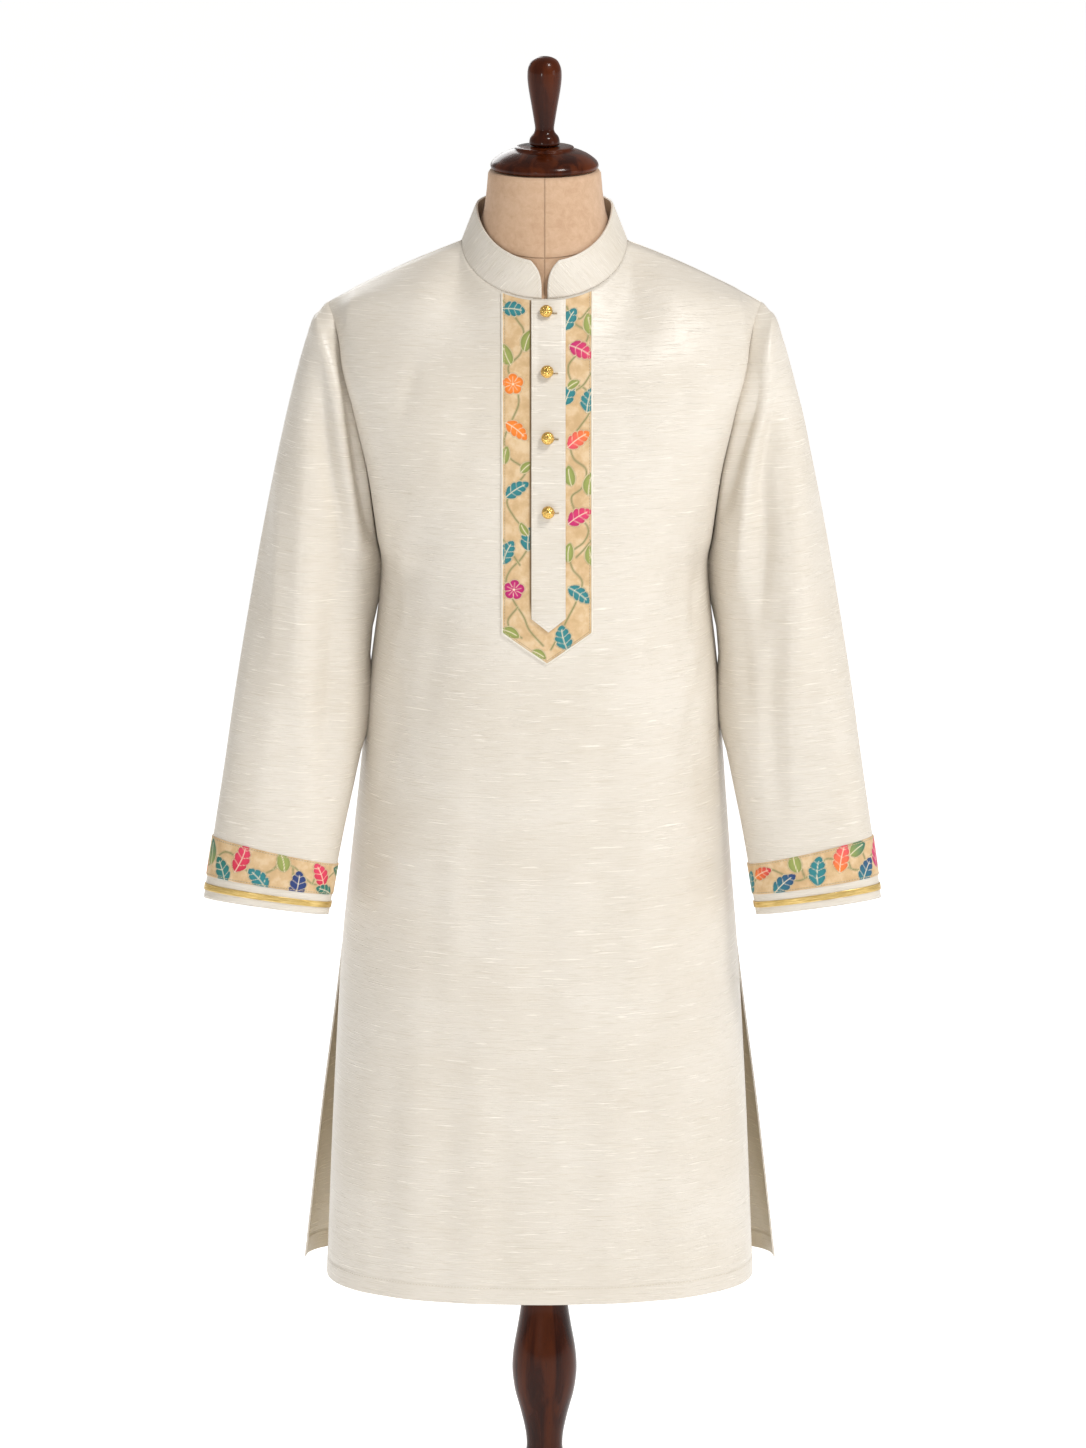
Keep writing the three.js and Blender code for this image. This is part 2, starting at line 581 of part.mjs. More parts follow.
// Four domed shank buttons standing square on the strip.
function buildButtons() {
  const { radius, base, height } = BUTTON;
  const profile = [
    [0, 0], [base, 0], [base, 1.6], [radius * 0.86, 2.6], [radius, 4.4], [radius * 0.8, 6.9], [radius * 0.4, 8.2],
    [0, height],
  ].map(([r, h]) => new THREE.Vector2(r, h));
  const lift = STRIP_LIFT + TRIM_WALL + SEAM_GAP;
  BUTTON_PLACES.forEach(({ x, z }, i) => {
    // The strip is flat between two neighbouring rows, and the button stands on that face.
    const k = PANEL_STATIONS.findIndex((station) => onFrontAt(x, station).z > z);
    const below = onFrontAt(x, PANEL_STATIONS[k - 1]);
    const above = onFrontAt(x, PANEL_STATIONS[k]);
    const here = below.clone().lerp(above, (z - below.z) / (above.z - below.z));
    const right = onFrontAt(x + 4, PANEL_STATIONS[k]).sub(onFrontAt(x - 4, PANEL_STATIONS[k]));
    const normal = right.cross(above.clone().sub(below)).normalize();
    const geometry = new THREE.LatheGeometry(profile, 12);
    geometry.applyQuaternion(new THREE.Quaternion().setFromUnitVectors(vector(0, 1, 0), normal));
    const seat = here.addScaledVector(normal, lift);
    geometry.translate(seat.x, seat.y, seat.z);
    addMesh("button_" + (i + 1), geometry, GOLD);
  });
}

// The form's body lies inside the cloth by a margin, closed at the arms by a flat side and at the bottom by a face.
function formGrid(panel, isFront) {
  const inside = monotone(FORM_MARGIN.map((m) => m.station), FORM_MARGIN.map((m) => m.inside));
  const first = PANEL_STATIONS.findIndex((station) => station > FORM_MARGIN[0].station);
  const shift = isFront ? 1 : -1;
  return panel.plain.slice(first).map((line, i) =>
    line.map((p, j) => {
      const station = PANEL_STATIONS[first + i];
      const point = p.clone().addScaledVector(panel.normals[first + i][j], -WALL - inside(station));
      const isEdge = j === 0 || j === line.length - 1;
      if (isEdge || station === TOP) point.y += (shift * SEAM_GAP) / 2;
      if (isEdge) point.x -= Math.sign(point.x) * 6;
      return point;
    }),
  );
}

// Ring of the neck: the neckline drawn in towards a round column.
function neckRing(loop, ring) {
  return loop.map((p) => {
    const angle = Math.atan2(p.x, -(p.y - NECK_COLUMN.y));
    const fore = Math.max(Math.cos(angle), 0);
    const z = mix(ring.sideZ, ring.frontZ, fore);
    const taper = THREE.MathUtils.clamp((z - NECK_COLUMN.lowZ) / (NECK_COLUMN.highZ - NECK_COLUMN.lowZ), -0.3, 1);
    const radius = mix(NECK_COLUMN.low, NECK_COLUMN.high, taper);
    const column = vector(radius * Math.sin(angle), NECK_COLUMN.y - NECK_COLUMN.deep * radius * Math.cos(angle), z);
    const start = p.clone();
    start.z = z;
    return start.lerp(column, ring.round);
  });
}

function buildForm() {
  const fore = formGrid(front, true);
  const aft = formGrid(back, false);
  const isSeam = (across) => Math.abs(across) >= NECK.share - 1e-6;
  PANEL_ACROSS.forEach((across, j) => {
    if (isSeam(across)) aft.at(-1)[j].copy(fore.at(-1)[j]);
  });
  const edge = (grid, at) => grid.map((line) => line.at(at));
  const isNeck = (across) => Math.abs(across) <= NECK.share + 1e-6;
  const neckOf = (line) => line.filter((_, j) => isNeck(PANEL_ACROSS[j]));
  const neckline = [...neckOf(fore.at(-1)), ...neckOf(aft.at(-1)).reverse().slice(1, -1)];
  const rings = [neckline, ...NECK_RINGS.map((ring) => neckRing(neckline, ring))];
  const rim = neckline.map((p) => {
    const angle = Math.atan2(p.x, -(p.y - NECK_COLUMN.y));
    const depth = NECK_COLUMN.deep * NECK_COLUMN.rim * Math.cos(angle);
    return vector(NECK_COLUMN.rim * Math.sin(angle), NECK_COLUMN.y - depth, NECK_COLUMN.topZ);
  });
  const top = vector(0, NECK_COLUMN.y, NECK_COLUMN.topZ);
  const under = vector(0, 0, FORM_BOTTOM);
  const floor = [...fore[0], ...[...aft[0]].reverse()];
  floor.forEach((p) => (p.z = FORM_BOTTOM));
  const triangles = [
    ...gridTriangles(fore),
    ...flipped(gridTriangles(aft)),
    ...flipped(gridTriangles([edge(fore, -1), edge(aft, -1)])),
    ...gridTriangles([edge(fore, 0), edge(aft, 0)]),
    ...gridTriangles([...rings, rim, rim.map(() => top)], true),
    ...gridTriangles([floor.map(() => under), floor], true),
  ];
  addMesh("form_body", closedGeometry(triangles), COVER);
}

function buildTurned(name, profile, sides = LATHE_SIDES) {
  const geometry = new THREE.LatheGeometry(profile.map(([r, z]) => new THREE.Vector2(r, z)), sides);
  geometry.rotateX(Math.PI / 2);
  addMesh(name, geometry, WOOD);
}

buildPanels();
for (const side of ["right", "left"]) {
  buildSleeve(side);
  buildCuffTrim("cuff_print", side, CUFF_PRINT, PRINT);
  buildCuffTrim("cuff_gold", side, CUFF_GOLD, GOLD);
}
buildCollar();
buildPlacket();
buildButtons();
buildForm();
buildTurned("neck_cap", CAP_PROFILE);
buildTurned("finial", FINIAL_PROFILE, 20);
buildTurned("post", POST_PROFILE, 24);
buildTurned("stand_base", BASE_PROFILE, 32);

export default group;
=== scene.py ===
"""Looks for a knee-length raw silk kurta, buttoned on a limbless dress form with a turned wooden stand.

Shapes are worked out in millimetres, +Z up with the garment's front towards -Y, and put into meshes in metres."""

import math

import bmesh
import bpy
import numpy as np
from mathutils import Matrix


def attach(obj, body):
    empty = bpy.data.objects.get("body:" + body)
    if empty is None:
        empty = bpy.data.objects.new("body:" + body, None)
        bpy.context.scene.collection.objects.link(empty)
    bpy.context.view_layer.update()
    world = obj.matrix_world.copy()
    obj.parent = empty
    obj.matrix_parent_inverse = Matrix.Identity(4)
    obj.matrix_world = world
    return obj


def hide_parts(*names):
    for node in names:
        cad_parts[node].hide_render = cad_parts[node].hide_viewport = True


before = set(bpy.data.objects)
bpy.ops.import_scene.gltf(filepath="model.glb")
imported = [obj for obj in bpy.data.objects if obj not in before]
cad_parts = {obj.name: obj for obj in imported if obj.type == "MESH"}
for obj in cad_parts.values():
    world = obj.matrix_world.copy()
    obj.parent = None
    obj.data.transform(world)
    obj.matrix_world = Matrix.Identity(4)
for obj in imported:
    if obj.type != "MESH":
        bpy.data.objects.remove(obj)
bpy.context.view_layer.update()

# Camera in metres, and the scale of the photograph.
ELEVATION = math.radians(11.5)
DISTANCE = 14.0
TARGET = (-0.0016, 0.0, 0.937)
MM_PER_PIXEL = 1.043
IMAGE_HEIGHT = 1448

# The garment's cut, repeated from the part: neckline, shoulder, and the sections of its panels and sleeves.
NECK = {"half": 86, "y": 5, "front": 83, "back": 68, "z": 1448, "front_drop": 48, "back_rise": 2, "share": 0.32}
SHOULDER = {"x": 225, "y": 10, "z": 1382, "crown": 3.5}
SLIT_TOP = 701
ARMPIT = 1108
TOP = 1400
HEM = 354
# Columns: station, z at the middle, z at the side, half width, y at the side, y at the middle, squareness.
FRONT_ROWS = np.array([
    [HEM, 354, 361, 223, -38, -165, 2.3],
    [530, 530, 532, 216, -24, -163, 2.45],
    [640, 640, 640, 210.5, -11, -161, 2.4],
    [SLIT_TOP, 701, 701, 207, 0, -160, 2.4],
    [790, 790, 790, 199, 0, -158, 2.35],
    [880, 880, 880, 191, 0, -156, 2.3],
    [1000, 1000, 1000, 181, 0, -152, 2.25],
    [ARMPIT, 1106, 1112, 170, 0, -148, 2.2],
    [1142, 1140, 1142, 174, -22, -147, 2.15],
    [1207, 1203, 1207, 182.5, -44, -143, 2.1],
    [1272, 1266, 1273, 197, -48, -134, 2.05],
    [1340, 1328, 1343, 212.5, -27, -118, 2],
])
BACK_ROWS = np.array([
    [HEM, 350, 352, 248, 58, 160, 2.3],
    [530, 530, 531, 228, 36, 158, 2.3],
    [640, 640, 640, 214, 17, 155, 2.3],
    [SLIT_TOP, 701, 701, 207, 0, 152, 2.3],
    [790, 790, 790, 199, 0, 146, 2.3],
    [880, 880, 880, 191, 0, 136, 2.25],
    [1000, 1000, 1000, 181, 0, 124, 2.2],
    [ARMPIT, 1106, 1112, 170, 0, 120, 2.2],
    [1142, 1140, 1142, 174, 26, 121, 2.15],
    [1207, 1207, 1207, 182.5, 52, 124, 2.1],
    [1272, 1275, 1273, 197, 60, 124, 2.1],
    [1340, 1350, 1343, 212.5, 44, 110, 2],
])
SHOULDER_ROLL = {"station": 1372, "share": 0.55, "out": 9, "up": 15}
LEAN = np.array([[HEM, -5], [SLIT_TOP, -5], [880, -2.5], [ARMPIT - 40, 0], [TOP, 0]], float)
# Columns: outer x and z, inner x and z, y, half depth, rise of the front, squareness.
SLEEVE_RINGS = np.array([
    [236, 1375, 172.5, 1101, 4, 64, 0, 2.1],
    [247, 1346, 174.5, 1082, 1, 66, 0, 2.1],
    [259, 1304, 177, 1058, -3, 64, 0, 2.1],
    [274, 1240, 180, 1025, -9, 61, 0, 2.1],
    [291, 1156, 183, 985, -20, 58, 0.5, 2.1],
    [306, 1072, 186, 940, -33, 55, 1, 2.1],
    [320, 987, 195, 893, -47, 51, 2, 2.1],
    [332, 903, 206, 842, -63, 46, 3, 2.15],
    [344, 823, 214.5, 797.5, -77, 41, 4, 2.2],
    [351.5, 771.5, 222, 753.5, -87, 38, 5, 2.2],
])
SLEEVE_SWING = {"right": -2, "left": 2.5}

# Troughs of the body panels: upper x and z, lower x and z, half width, depth. A ridge has a negative depth.
FRONT_FOLDS = [
    (-152, 1200, -162, 1105, 13, 3.5),
    (-121, 1190, -150, 1060, 17, 4),
    (154, 1196, 163, 1100, 13, 3.5),
    (122, 1192, 158, 1030, 17, 4.5),
]
FRONT_CREASES = [
    (-163, 1170, -146, 1020, 6, 1.8),
    (-137, 1120, -163, 985, 7, -1.8),
    (-100, 1130, -130, 930, 13, 2.4),
    (-168, 1050, -140, 890, 8, 1.8),
    (-150, 1000, -172, 860, 7, 1.4),
    (164, 1170, 148, 1010, 6, 1.9),
    (138, 1120, 165, 965, 7, -1.9),
    (102, 1140, 135, 920, 13, 2.5),
    (170, 1050, 138, 880, 8, 1.9),
    (150, 985, 174, 840, 8, 1.6),
    (-31, 1036, -36, 930, 4, 1.3),
    (-18, 1028, -21, 890, 4.5, 1.5),
    (-3, 1018, -4, 920, 4, 1.3),
    (12, 1026, 11, 880, 5, 1.4),
    (28, 1036, 31, 940, 4, 1.2),
    (-64, 980, -74, 600, 20, 2.6),
    (60, 1000, 66, 580, 22, 2.6),
    (-6, 880, -2, 480, 18, 1.8),
    (-112, 900, -120, 560, 14, 1.8),
    (116, 880, 122, 560, 14, 1.8),
    (-96, 740, -106, 300, 22, 4.0),
    (-40, 660, -46, 300, 18, 3.0),
    (36, 690, 42, 300, 20, 3.2),
    (100, 720, 112, 300, 22, 4.0),
    (-158, 660, -172, 300, 16, 3.4),
    (160, 640, 176, 300, 16, 3.2),
    (-70, 1340, -94, 1200, 15, 1.6),
    (80, 1340, 104, 1190, 15, 1.6),
    (-126, 1358, -152, 1262, 9, 1.6),
    (132, 1356, 156, 1256, 9, 1.6),
]
BACK_CREASES = [
    (-150, 1210, -160, 1090, 12, 4.3),
    (-118, 1200, -148, 1050, 16, 4.6),
    (150, 1215, 160, 1095, 12, 4.3),
    (116, 1190, 146, 1040, 16, 4.9),
    (-60, 1130, -74, 800, 20, 3.5),
    (8, 1150, 4, 780, 18, 3.8),
    (72, 1120, 84, 790, 22, 3.2),
    (-128, 1010, -140, 840, 12, 2.3),
    (130, 1000, 144, 850, 12, 2.6),
    (-104, 760, -124, 300, 26, 5.2),
    (-40, 720, -50, 300, 22, 4.1),
    (30, 740, 38, 300, 24, 4.3),
    (100, 750, 122, 300, 26, 4.9),
    (-176, 660, -200, 300, 18, 3.5),
    (178, 640, 204, 300, 20, 3.8),
    (-70, 1350, -96, 1200, 18, 1.7),
    (74, 1345, 104, 1190, 18, 1.7),
]
# Folds of each sleeve: share of the way round, start and end down the sleeve, half width in shares, depth, and how
# far round the fold drifts on its way down.
SLEEVE_FOLDS = {
    "right": [
        (0.16, 50, 310, 0.045, 5.5, 0), (0.3, 150, 520, 0.045, 4, 0), (0.7, 120, 420, 0.05, 4, 0),
    ],
    "left": [
        (0.19, 60, 350, 0.045, 5, 0), (0.34, 170, 500, 0.04, 3, 0), (0.74, 100, 380, 0.05, 4.5, 0),
    ],
}
# Finer creases behind, and the bunched cloth of the underarm, which swells towards the body.
SLEEVE_CREASES = {
    "right": [
        (0, -60, 95, 0.045, -5, 0), (0, 140, 285, 0.05, -4.5, 0), (0.6, 60, 300, 0.03, 2.6, 0.02),
        (0.82, 80, 330, 0.03, 3, -0.03), (0.9, 200, 480, 0.025, 2, 0.02), (0.64, 330, 560, 0.025, 1.8, -0.02),
        (0.53, 250, 520, 0.02, 1.2, 0.01), (0.76, 20, 190, 0.02, -2.4, 0.03), (0.87, 10, 150, 0.03, 3.5, -0.02),
    ],
    "left": [
        (0, -60, 95, 0.045, -5, 0), (0, 140, 285, 0.05, -4.5, 0), (0.61, 70, 310, 0.03, 2.8, 0.02),
        (0.84, 60, 300, 0.03, 2.8, -0.02), (0.91, 230, 500, 0.025, 1.8, 0.02), (0.66, 320, 560, 0.025, 1.9, 0.02),
        (0.54, 200, 480, 0.02, 1.3, -0.01), (0.77, 15, 200, 0.02, -2.4, 0.02), (0.88, 8, 160, 0.03, 3.2, -0.02),
    ],
}
# Folds in front, each a smooth line through places of x and z in the front view, its half width and its depth.
SLEEVE_LINES = {
    "left": [
        ([(228, 1371), (221, 1331), (215, 1293), (209, 1251), (200, 1188), (191, 1123)], 8, -6),
        ([(233, 1353), (231, 1293), (227, 1246), (218, 1199), (208, 1147), (202, 1061)], 12, 9),
        ([(204, 1290), (197, 1250), (191, 1215), (184, 1175), (177, 1130)], 8, 8),
        ([(244, 1330), (248, 1261), (250, 1188), (252, 1089), (256, 930)], 17, -7),
        ([(223, 1164), (216, 1042), (221, 959), (229, 836)], 16, 7),
        ([(283, 1212), (297, 1081), (312, 928)], 15, 4.5),
        ([(272, 1240), (278, 1130), (283, 1010)], 9, -2.5),
        ([(262, 1010), (268, 940), (270, 860)], 12, 1.6),
    ],
    "right": [
        ([(234, 1357), (231, 1293), (216, 1236), (207, 1167), (198, 1082)], 8, -6),
        ([(223, 1325), (219, 1290), (205, 1250), (193, 1205), (184, 1160)], 7, 7.5),
        ([(239, 1320), (231, 1247), (226, 1208), (227, 1150), (217, 1019)], 11, 9),
        ([(259, 1320), (259, 1187), (262, 984)], 16, -7),
        ([(238, 1104), (234, 960), (246, 838)], 15, 6.5),
        ([(286, 1202), (300, 1059), (318, 917)], 15, 4.2),
        ([(275, 1090), (280, 1000), (281, 900)], 12, 1.6),
        ([(203, 1090), (206, 1020), (214, 930)], 8, 2),
    ],
}

COLLAR = {"front": 38, "side": 38, "back": 42, "half": 71, "top_front": 72, "top_back": 68, "gap": 3, "corner": 12}
COLLAR_WALL = 2.4
BORDER = {"half": 47, "corner": 1062, "tip": 1030, "x": 2.6}
STRIP = {"half": 17.5, "corner": 1078, "tip": 1064, "x": 4}
BUTTON_PLACES = [(1.7, 1386), (2.6, 1329), (3.2, 1264), (3.6, 1189)]
CUFF_PRINT = (59.5, 22.5)
CUFF_GOLD = (14.5, 8)
CLOTH = 0.9
TRIM_TOP = 1.9
STRIP_TOP = 3.4

FORM_BOTTOM = 748
# Columns: station, and how far inside the cloth's wall the form lies.
FORM_MARGIN = np.array([
    [740, 24], [880, 26], [1000, 22], [ARMPIT, 11], [1272, 7], [1340, 4],
    [SHOULDER_ROLL["station"], 1.2], [TOP, 0.5],
])
# Half width of the seams down the neck's cover.
NECK_SEAM = 3.225
# Share of the way to the round column, and the ring's height in front and at the side.
NECK_RINGS = [(0.5, 1408, 1456), (0.85, 1424, 1466), (1, 1448, 1480), (1, 1500, 1500), (1, 1519, 1519)]
NECK_COLUMN = {
    "low": 64.5, "high": 58.5, "low_z": 1470, "high_z": 1511, "rim": 56.5, "top": 1522, "y": -1, "deep": 0.97,
}


# Numbers and curves.


def mix(a, b, share):
    return a + (b - a) * share


def ease(low, high, value):
    """0 below low, 1 above high, smooth between."""
    s = np.clip((value - low) / (high - low), 0, 1)
    return s * s * (3 - 2 * s)


def signed_power(value, exponent):
    return np.sign(value) * np.abs(value) ** exponent


def unit(v):
    return v / np.maximum(np.linalg.norm(v, axis=-1, keepdims=True), 1e-9)


def bell(value, width):
    return np.exp(-((value / width) ** 2))


def monotone(stations, values, at, paired=False):
    """Smooth curve through values at rising stations that never swings past them: a cubic whose slope at each
    value is the harmonic mean of the slopes on its two sides. With paired, each place of at has its own column."""
    stations = np.asarray(stations, float)
    values = np.asarray(values, float)
    spans = np.diff(stations)
    slopes = np.diff(values, axis=0) / spans.reshape((-1,) + (1,) * (values.ndim - 1))
    product = slopes[:-1] * slopes[1:]
    total = np.where(product > 0, slopes[:-1] + slopes[1:], 1)
    tangents = np.concatenate([slopes[:1], np.where(product > 0, 2 * product / total, 0), slopes[-1:]])
    k = np.clip(np.searchsorted(stations, at) - 1, 0, len(spans) - 1)
    column = (np.arange(len(k)),) if paired else ()
    shape = (-1,) + (1,) * (values.ndim - (2 if paired else 1))
    span = spans[k].reshape(shape)
    s = ((at - stations[k]) / spans[k]).reshape(shape)
    low, high = (k, *column), (k + 1, *column)
    start = s * (1 - s) ** 2 * span * tangents[low]
    end = s * s * (s - 1) * span * tangents[high]
    return mix(values[low], values[high], s * s * (3 - 2 * s)) + start + end


# The panels, as functions of a place across them, from -1 to 1, and a station up them.


def sections(rows, across):
    """Points of every section at each place across: a quarter turn each way round a superellipse."""
    _, z, z_side, half, y_side, y_mid, power = rows.T[:, :, None]
    angle = across[None] * math.pi / 2
    fore = np.abs(np.cos(angle)) ** (2 / power)
    reach = signed_power(np.sin(angle), 2 / power)
    return np.stack([half * reach, mix(y_side, y_mid, fore), mix(z_side, z, fore)], -1)


def top_edge(across, is_front):
    """The neckline's half ellipse, then the shoulder seam with its slight crown."""
    along = (np.abs(across) - NECK["share"]) / (1 - NECK["share"])
    x = np.sign(across) * mix(NECK["half"], SHOULDER["x"], along)
    z = mix(NECK["z"], SHOULDER["z"], along) + SHOULDER["crown"] * np.sin(math.pi * along)
    shoulder = np.stack([x, mix(NECK["y"], SHOULDER["y"], along), z], -1)
    angle = across / NECK["share"] * math.pi / 2
    fore = np.cos(angle)
    y = NECK["y"] - NECK["front"] * fore if is_front else NECK["y"] + NECK["back"] * fore
    z = NECK["z"] - NECK["front_drop"] * fore if is_front else NECK["z"] + NECK["back_rise"] * fore
    neckline = np.stack([NECK["half"] * np.sin(angle), y, z], -1)
    return np.where(along[:, None] > 0, shoulder, neckline)


def panel(across, station, is_front, paired=False):
    """Points of a body panel: smooth columns through its sections, the shoulder's roll and the top edge."""
    rows = FRONT_ROWS if is_front else BACK_ROWS
    out = -1 if is_front else 1
    points = sections(rows, across)
    top = top_edge(across, is_front)
    aside = np.abs(across)
    lift = ease(NECK["share"] - 0.12, NECK["share"] + 0.18, aside) * (1 - 0.6 * ease(0.85, 1, aside))
    roll = mix(points[-1], top, SHOULDER_ROLL["share"])
    roll[:, 1] += out * SHOULDER_ROLL["out"] * lift
    roll[:, 2] += SHOULDER_ROLL["up"] * lift
    stations = [*rows[:, 0], SHOULDER_ROLL["station"], TOP]
    grid = monotone(stations, np.concatenate([points, roll[None], top[None]]), station, paired)
    aside = monotone(LEAN[:, 0], LEAN[:, 1], station)
    grid[..., 0] += aside if paired else aside[:, None]
    return grid


def on_front(x, z, steps=9, nudge=1e-3):
    """Points of the front at pairs of x and z in the front view, by Newton steps on its two parameters."""
    across, station = x / SHOULDER["x"], z.astype(float)
    for _ in range(steps):
        here = panel(across, station, True, True)
        by_across = (panel(across + nudge, station, True, True) - here) / nudge
        by_station = (here - panel(across, station - nudge, True, True)) / nudge
        det = by_across[:, 0] * by_station[:, 2] - by_station[:, 0] * by_across[:, 2]
        miss_x, miss_z = x - here[:, 0], z - here[:, 2]
        across = across + (miss_x * by_station[:, 2] - miss_z * by_station[:, 0]) / det
        station = np.minimum(station + (miss_z * by_across[:, 0] - miss_x * by_across[:, 2]) / det, TOP - 1e-3)
    return panel(across, station, True, True)


def grid_normals(grid, loop=False):
    """Unit normals of a grid of points: its step along the rows crossed with its step up the columns."""
    along = np.roll(grid, -1, 1) - np.roll(grid, 1, 1) if loop else np.gradient(grid, axis=1)
    return unit(np.cross(along, np.gradient(grid, axis=0)))


def trough_depth(creases, x, z):
    """Summed depth of straight troughs that swell and fade along their length and have a bell-shaped section."""
    total = np.zeros_like(x)
    for top_x, top_z, end_x, end_z, width, depth in creases:
        along = np.clip((top_z - z) / (top_z - end_z), 0, 1)
        middle = mix(top_x, end_x, along)
        total += depth * np.sin(math.pi * along) ** 1.2 * bell(x - middle, width)
    return total


def smooth_line(points, parts=10):
    """A Catmull-Rom curve through the points, which it passes evenly."""
    points = np.asarray(points, float)
    ends = np.concatenate([[2 * points[0] - points[1]], points, [2 * points[-1] - points[-2]]])
    a, b, c, d = (ends[k : len(ends) - 3 + k, None] for k in range(4))
    s = np.linspace(0, 1, parts, endpoint=False)[None, :, None]
    curve = b + 0.5 * s * (c - a + s * (2 * a - 5 * b + 4 * c - d + s * (3 * (b - c) + d - a)))
    return np.concatenate([curve.reshape(-1, points.shape[1]), points[-1:]])


def near_line(line, x, z):
    """How far each place is from a line in the plane, and its share of the way along it."""
    lengths = np.linalg.norm(np.diff(line, axis=0), axis=1)
    before = np.concatenate([[0], lengths.cumsum()]) / lengths.sum()
    nearest = np.full(x.shape, 1e18)
    share = np.zeros(x.shape)
    for a, b, start, end in zip(line[:-1], line[1:], before[:-1], before[1:]):
        run = b - a
        s = np.clip(((x - a[0]) * run[0] + (z - a[1]) * run[1]) / (run @ run), 0, 1)
        away = (x - a[0] - s * run[0]) ** 2 + (z - a[1] - s * run[1]) ** 2
        closer = away < nearest
        nearest = np.where(closer, away, nearest)
        share = np.where(closer, mix(start, end, s), share)
    return np.sqrt(nearest), share


def line_depth(lines, x, z):
    """Summed depth of folds along lines of the front view."""
    total = np.zeros_like(x)
    for points, width, depth in lines:
        away, share = near_line(smooth_line(points, 5), x, z)
        total += depth * np.sin(math.pi * np.clip(share, 0, 1)) ** 0.8 * bell(away, width)
    return total


# Meshes.


def cloth_map(grid, loop=False):
    """Cloth coordinates in metres: how far each point lies along its row and along its column."""
    closed = np.concatenate([grid, grid[:, :1]], 1) if loop else grid
    u = np.linalg.norm(np.diff(closed, axis=1, prepend=closed[:, :1]), axis=2).cumsum(1)
    v = np.linalg.norm(np.diff(closed, axis=0, prepend=closed[:1]), axis=2).cumsum(0)
    middle = u.shape[1] // 2
    return np.stack([u - u[:, middle : middle + 1], v], -1) / 1000


def from_ends(reach):
    """How far each point of a cloth map lies from the nearer end of its row."""
    return np.minimum(np.abs(reach[..., 0] - reach[:, :1, 0]), np.abs(reach[:, -1:, 0] - reach[..., 0]))


def cells(rows, columns, loop, start=0):
    """Corner numbers of every cell of a grid whose points are counted on from start."""
    index = np.arange(rows * columns).reshape(rows, columns) + start
    closed = np.concatenate([index, index[:, :1]], 1) if loop else index
    return np.stack([closed[:-1, :-1], closed[:-1, 1:], closed[1:, 1:], closed[1:, :-1]], -1).reshape(-1, 4)


def fan(middle, ring):
    """Triangles from a middle point to each side of a ring."""
    return [[middle, a, b] for a, b in zip(ring.tolist(), np.roll(ring, -1).tolist())]


def closed_faces(rows, sides):
    """Faces of stacked rings that run counter-clockwise round a rising axis, with a fan at each end to one of the
    two points that follow them."""
    ring = np.arange(sides)
    count = rows * sides
    return cells(rows, sides, True).tolist() + fan(count, ring[::-1]) + fan(count + 1, ring + count - sides)


def turn_of(faces, points, normals):
    """1 if the faces agree with the normals of their corners, -1 if they have to be turned over."""
    a, b, d = (points[faces[:, k]] for k in (0, 1, 3))
    return 1 if np.sum(np.cross(b - a, d - a) * normals[faces[:, 0]]) > 0 else -1


def add_object(name, data):
    thing = bpy.data.objects.new(name, data)
    bpy.context.collection.objects.link(thing)
    return thing


def add_mesh(name, points, faces, finishes, uv=None, flat_from=None, inside=None):
    """An object at the origin from points in millimetres. Faces from flat_from on are flat, and those between the
    two numbers of inside take the second finish."""
    mesh = bpy.data.meshes.new(name)
    mesh.from_pydata((points.reshape(-1, 3) / 1000).tolist(), [], faces)
    number = np.arange(len(mesh.polygons))
    mesh.polygons.foreach_set("use_smooth", number < (flat_from or len(number)))
    if uv is not None:
        layer = mesh.uv_layers.new(name="cloth")
        layer.data.foreach_set("uv", uv.reshape(-1).astype(np.float32))
    for finish in finishes:
        mesh.materials.append(finish.material)
    if inside:
        is_inside = (number >= inside[0]) & (number < inside[1])
        mesh.polygons.foreach_set("material_index", is_inside.astype(np.int32))
    mesh.update()
    piece = add_object(name, mesh)
    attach(piece, "root")
    return piece


def show_for(piece, node):
    """The piece is shown in place of a node of the part."""
    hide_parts(node)
    return piece


def shell(name, outer, normals, thickness, finishes, loop=False, cloth=None, fold=None):
    """A thin cloth wall: the outer grid, the same grid moved in by the thickness, and flat rims between them. A
    cloth map has one more column than a looped grid, so that it closes without a jump. A fold share marks turned
    hems."""
    rows, columns = outer.shape[:2]
    count = rows * columns
    inner = outer - normals * np.broadcast_to(thickness, (rows, columns))[..., None]
    front = cells(rows, columns, loop)
    turn = turn_of(front, outer.reshape(-1, 3), normals.reshape(-1, 3))
    front = front[:, ::turn]
    lining = front[:, ::-1] + count
    index = np.arange(count).reshape(rows, columns)
    rims = [index[0], index[-1][::-1]]
    if loop:
        rims = [np.append(rim, rim[0]) for rim in rims]
    else:
        rims += [index[::-1, 0], index[:, -1]]
    edges = np.concatenate([np.stack([rim[:-1], rim[1:]], -1) for rim in rims])
    sides = np.concatenate([edges[:, ::-1], edges + count], 1)[:, ::turn]
    cloth = cloth_map(outer, loop) if cloth is None else cloth
    flat = cloth.reshape(-1, 2)
    corners = cells(rows, columns + loop, False)[:, ::turn]
    wide = np.concatenate([cloth[:, :columns].reshape(-1, 2)] * 2)
    uv = np.concatenate([flat[corners], flat[corners[:, ::-1]], wide[sides]])
    faces = np.concatenate([front, lining, sides])
    walls = len(front) + len(lining)
    inside = (len(front), walls) if len(finishes) > 1 else None
    piece = add_mesh(name, np.stack([outer, inner]), faces.tolist(), finishes, uv, walls, inside)
    if fold is not None:
        layer = piece.data.attributes.new("fold", "FLOAT", "POINT")
        layer.data.foreach_set("value", np.concatenate([fold.reshape(-1)] * 2).astype(np.float32))
    return piece


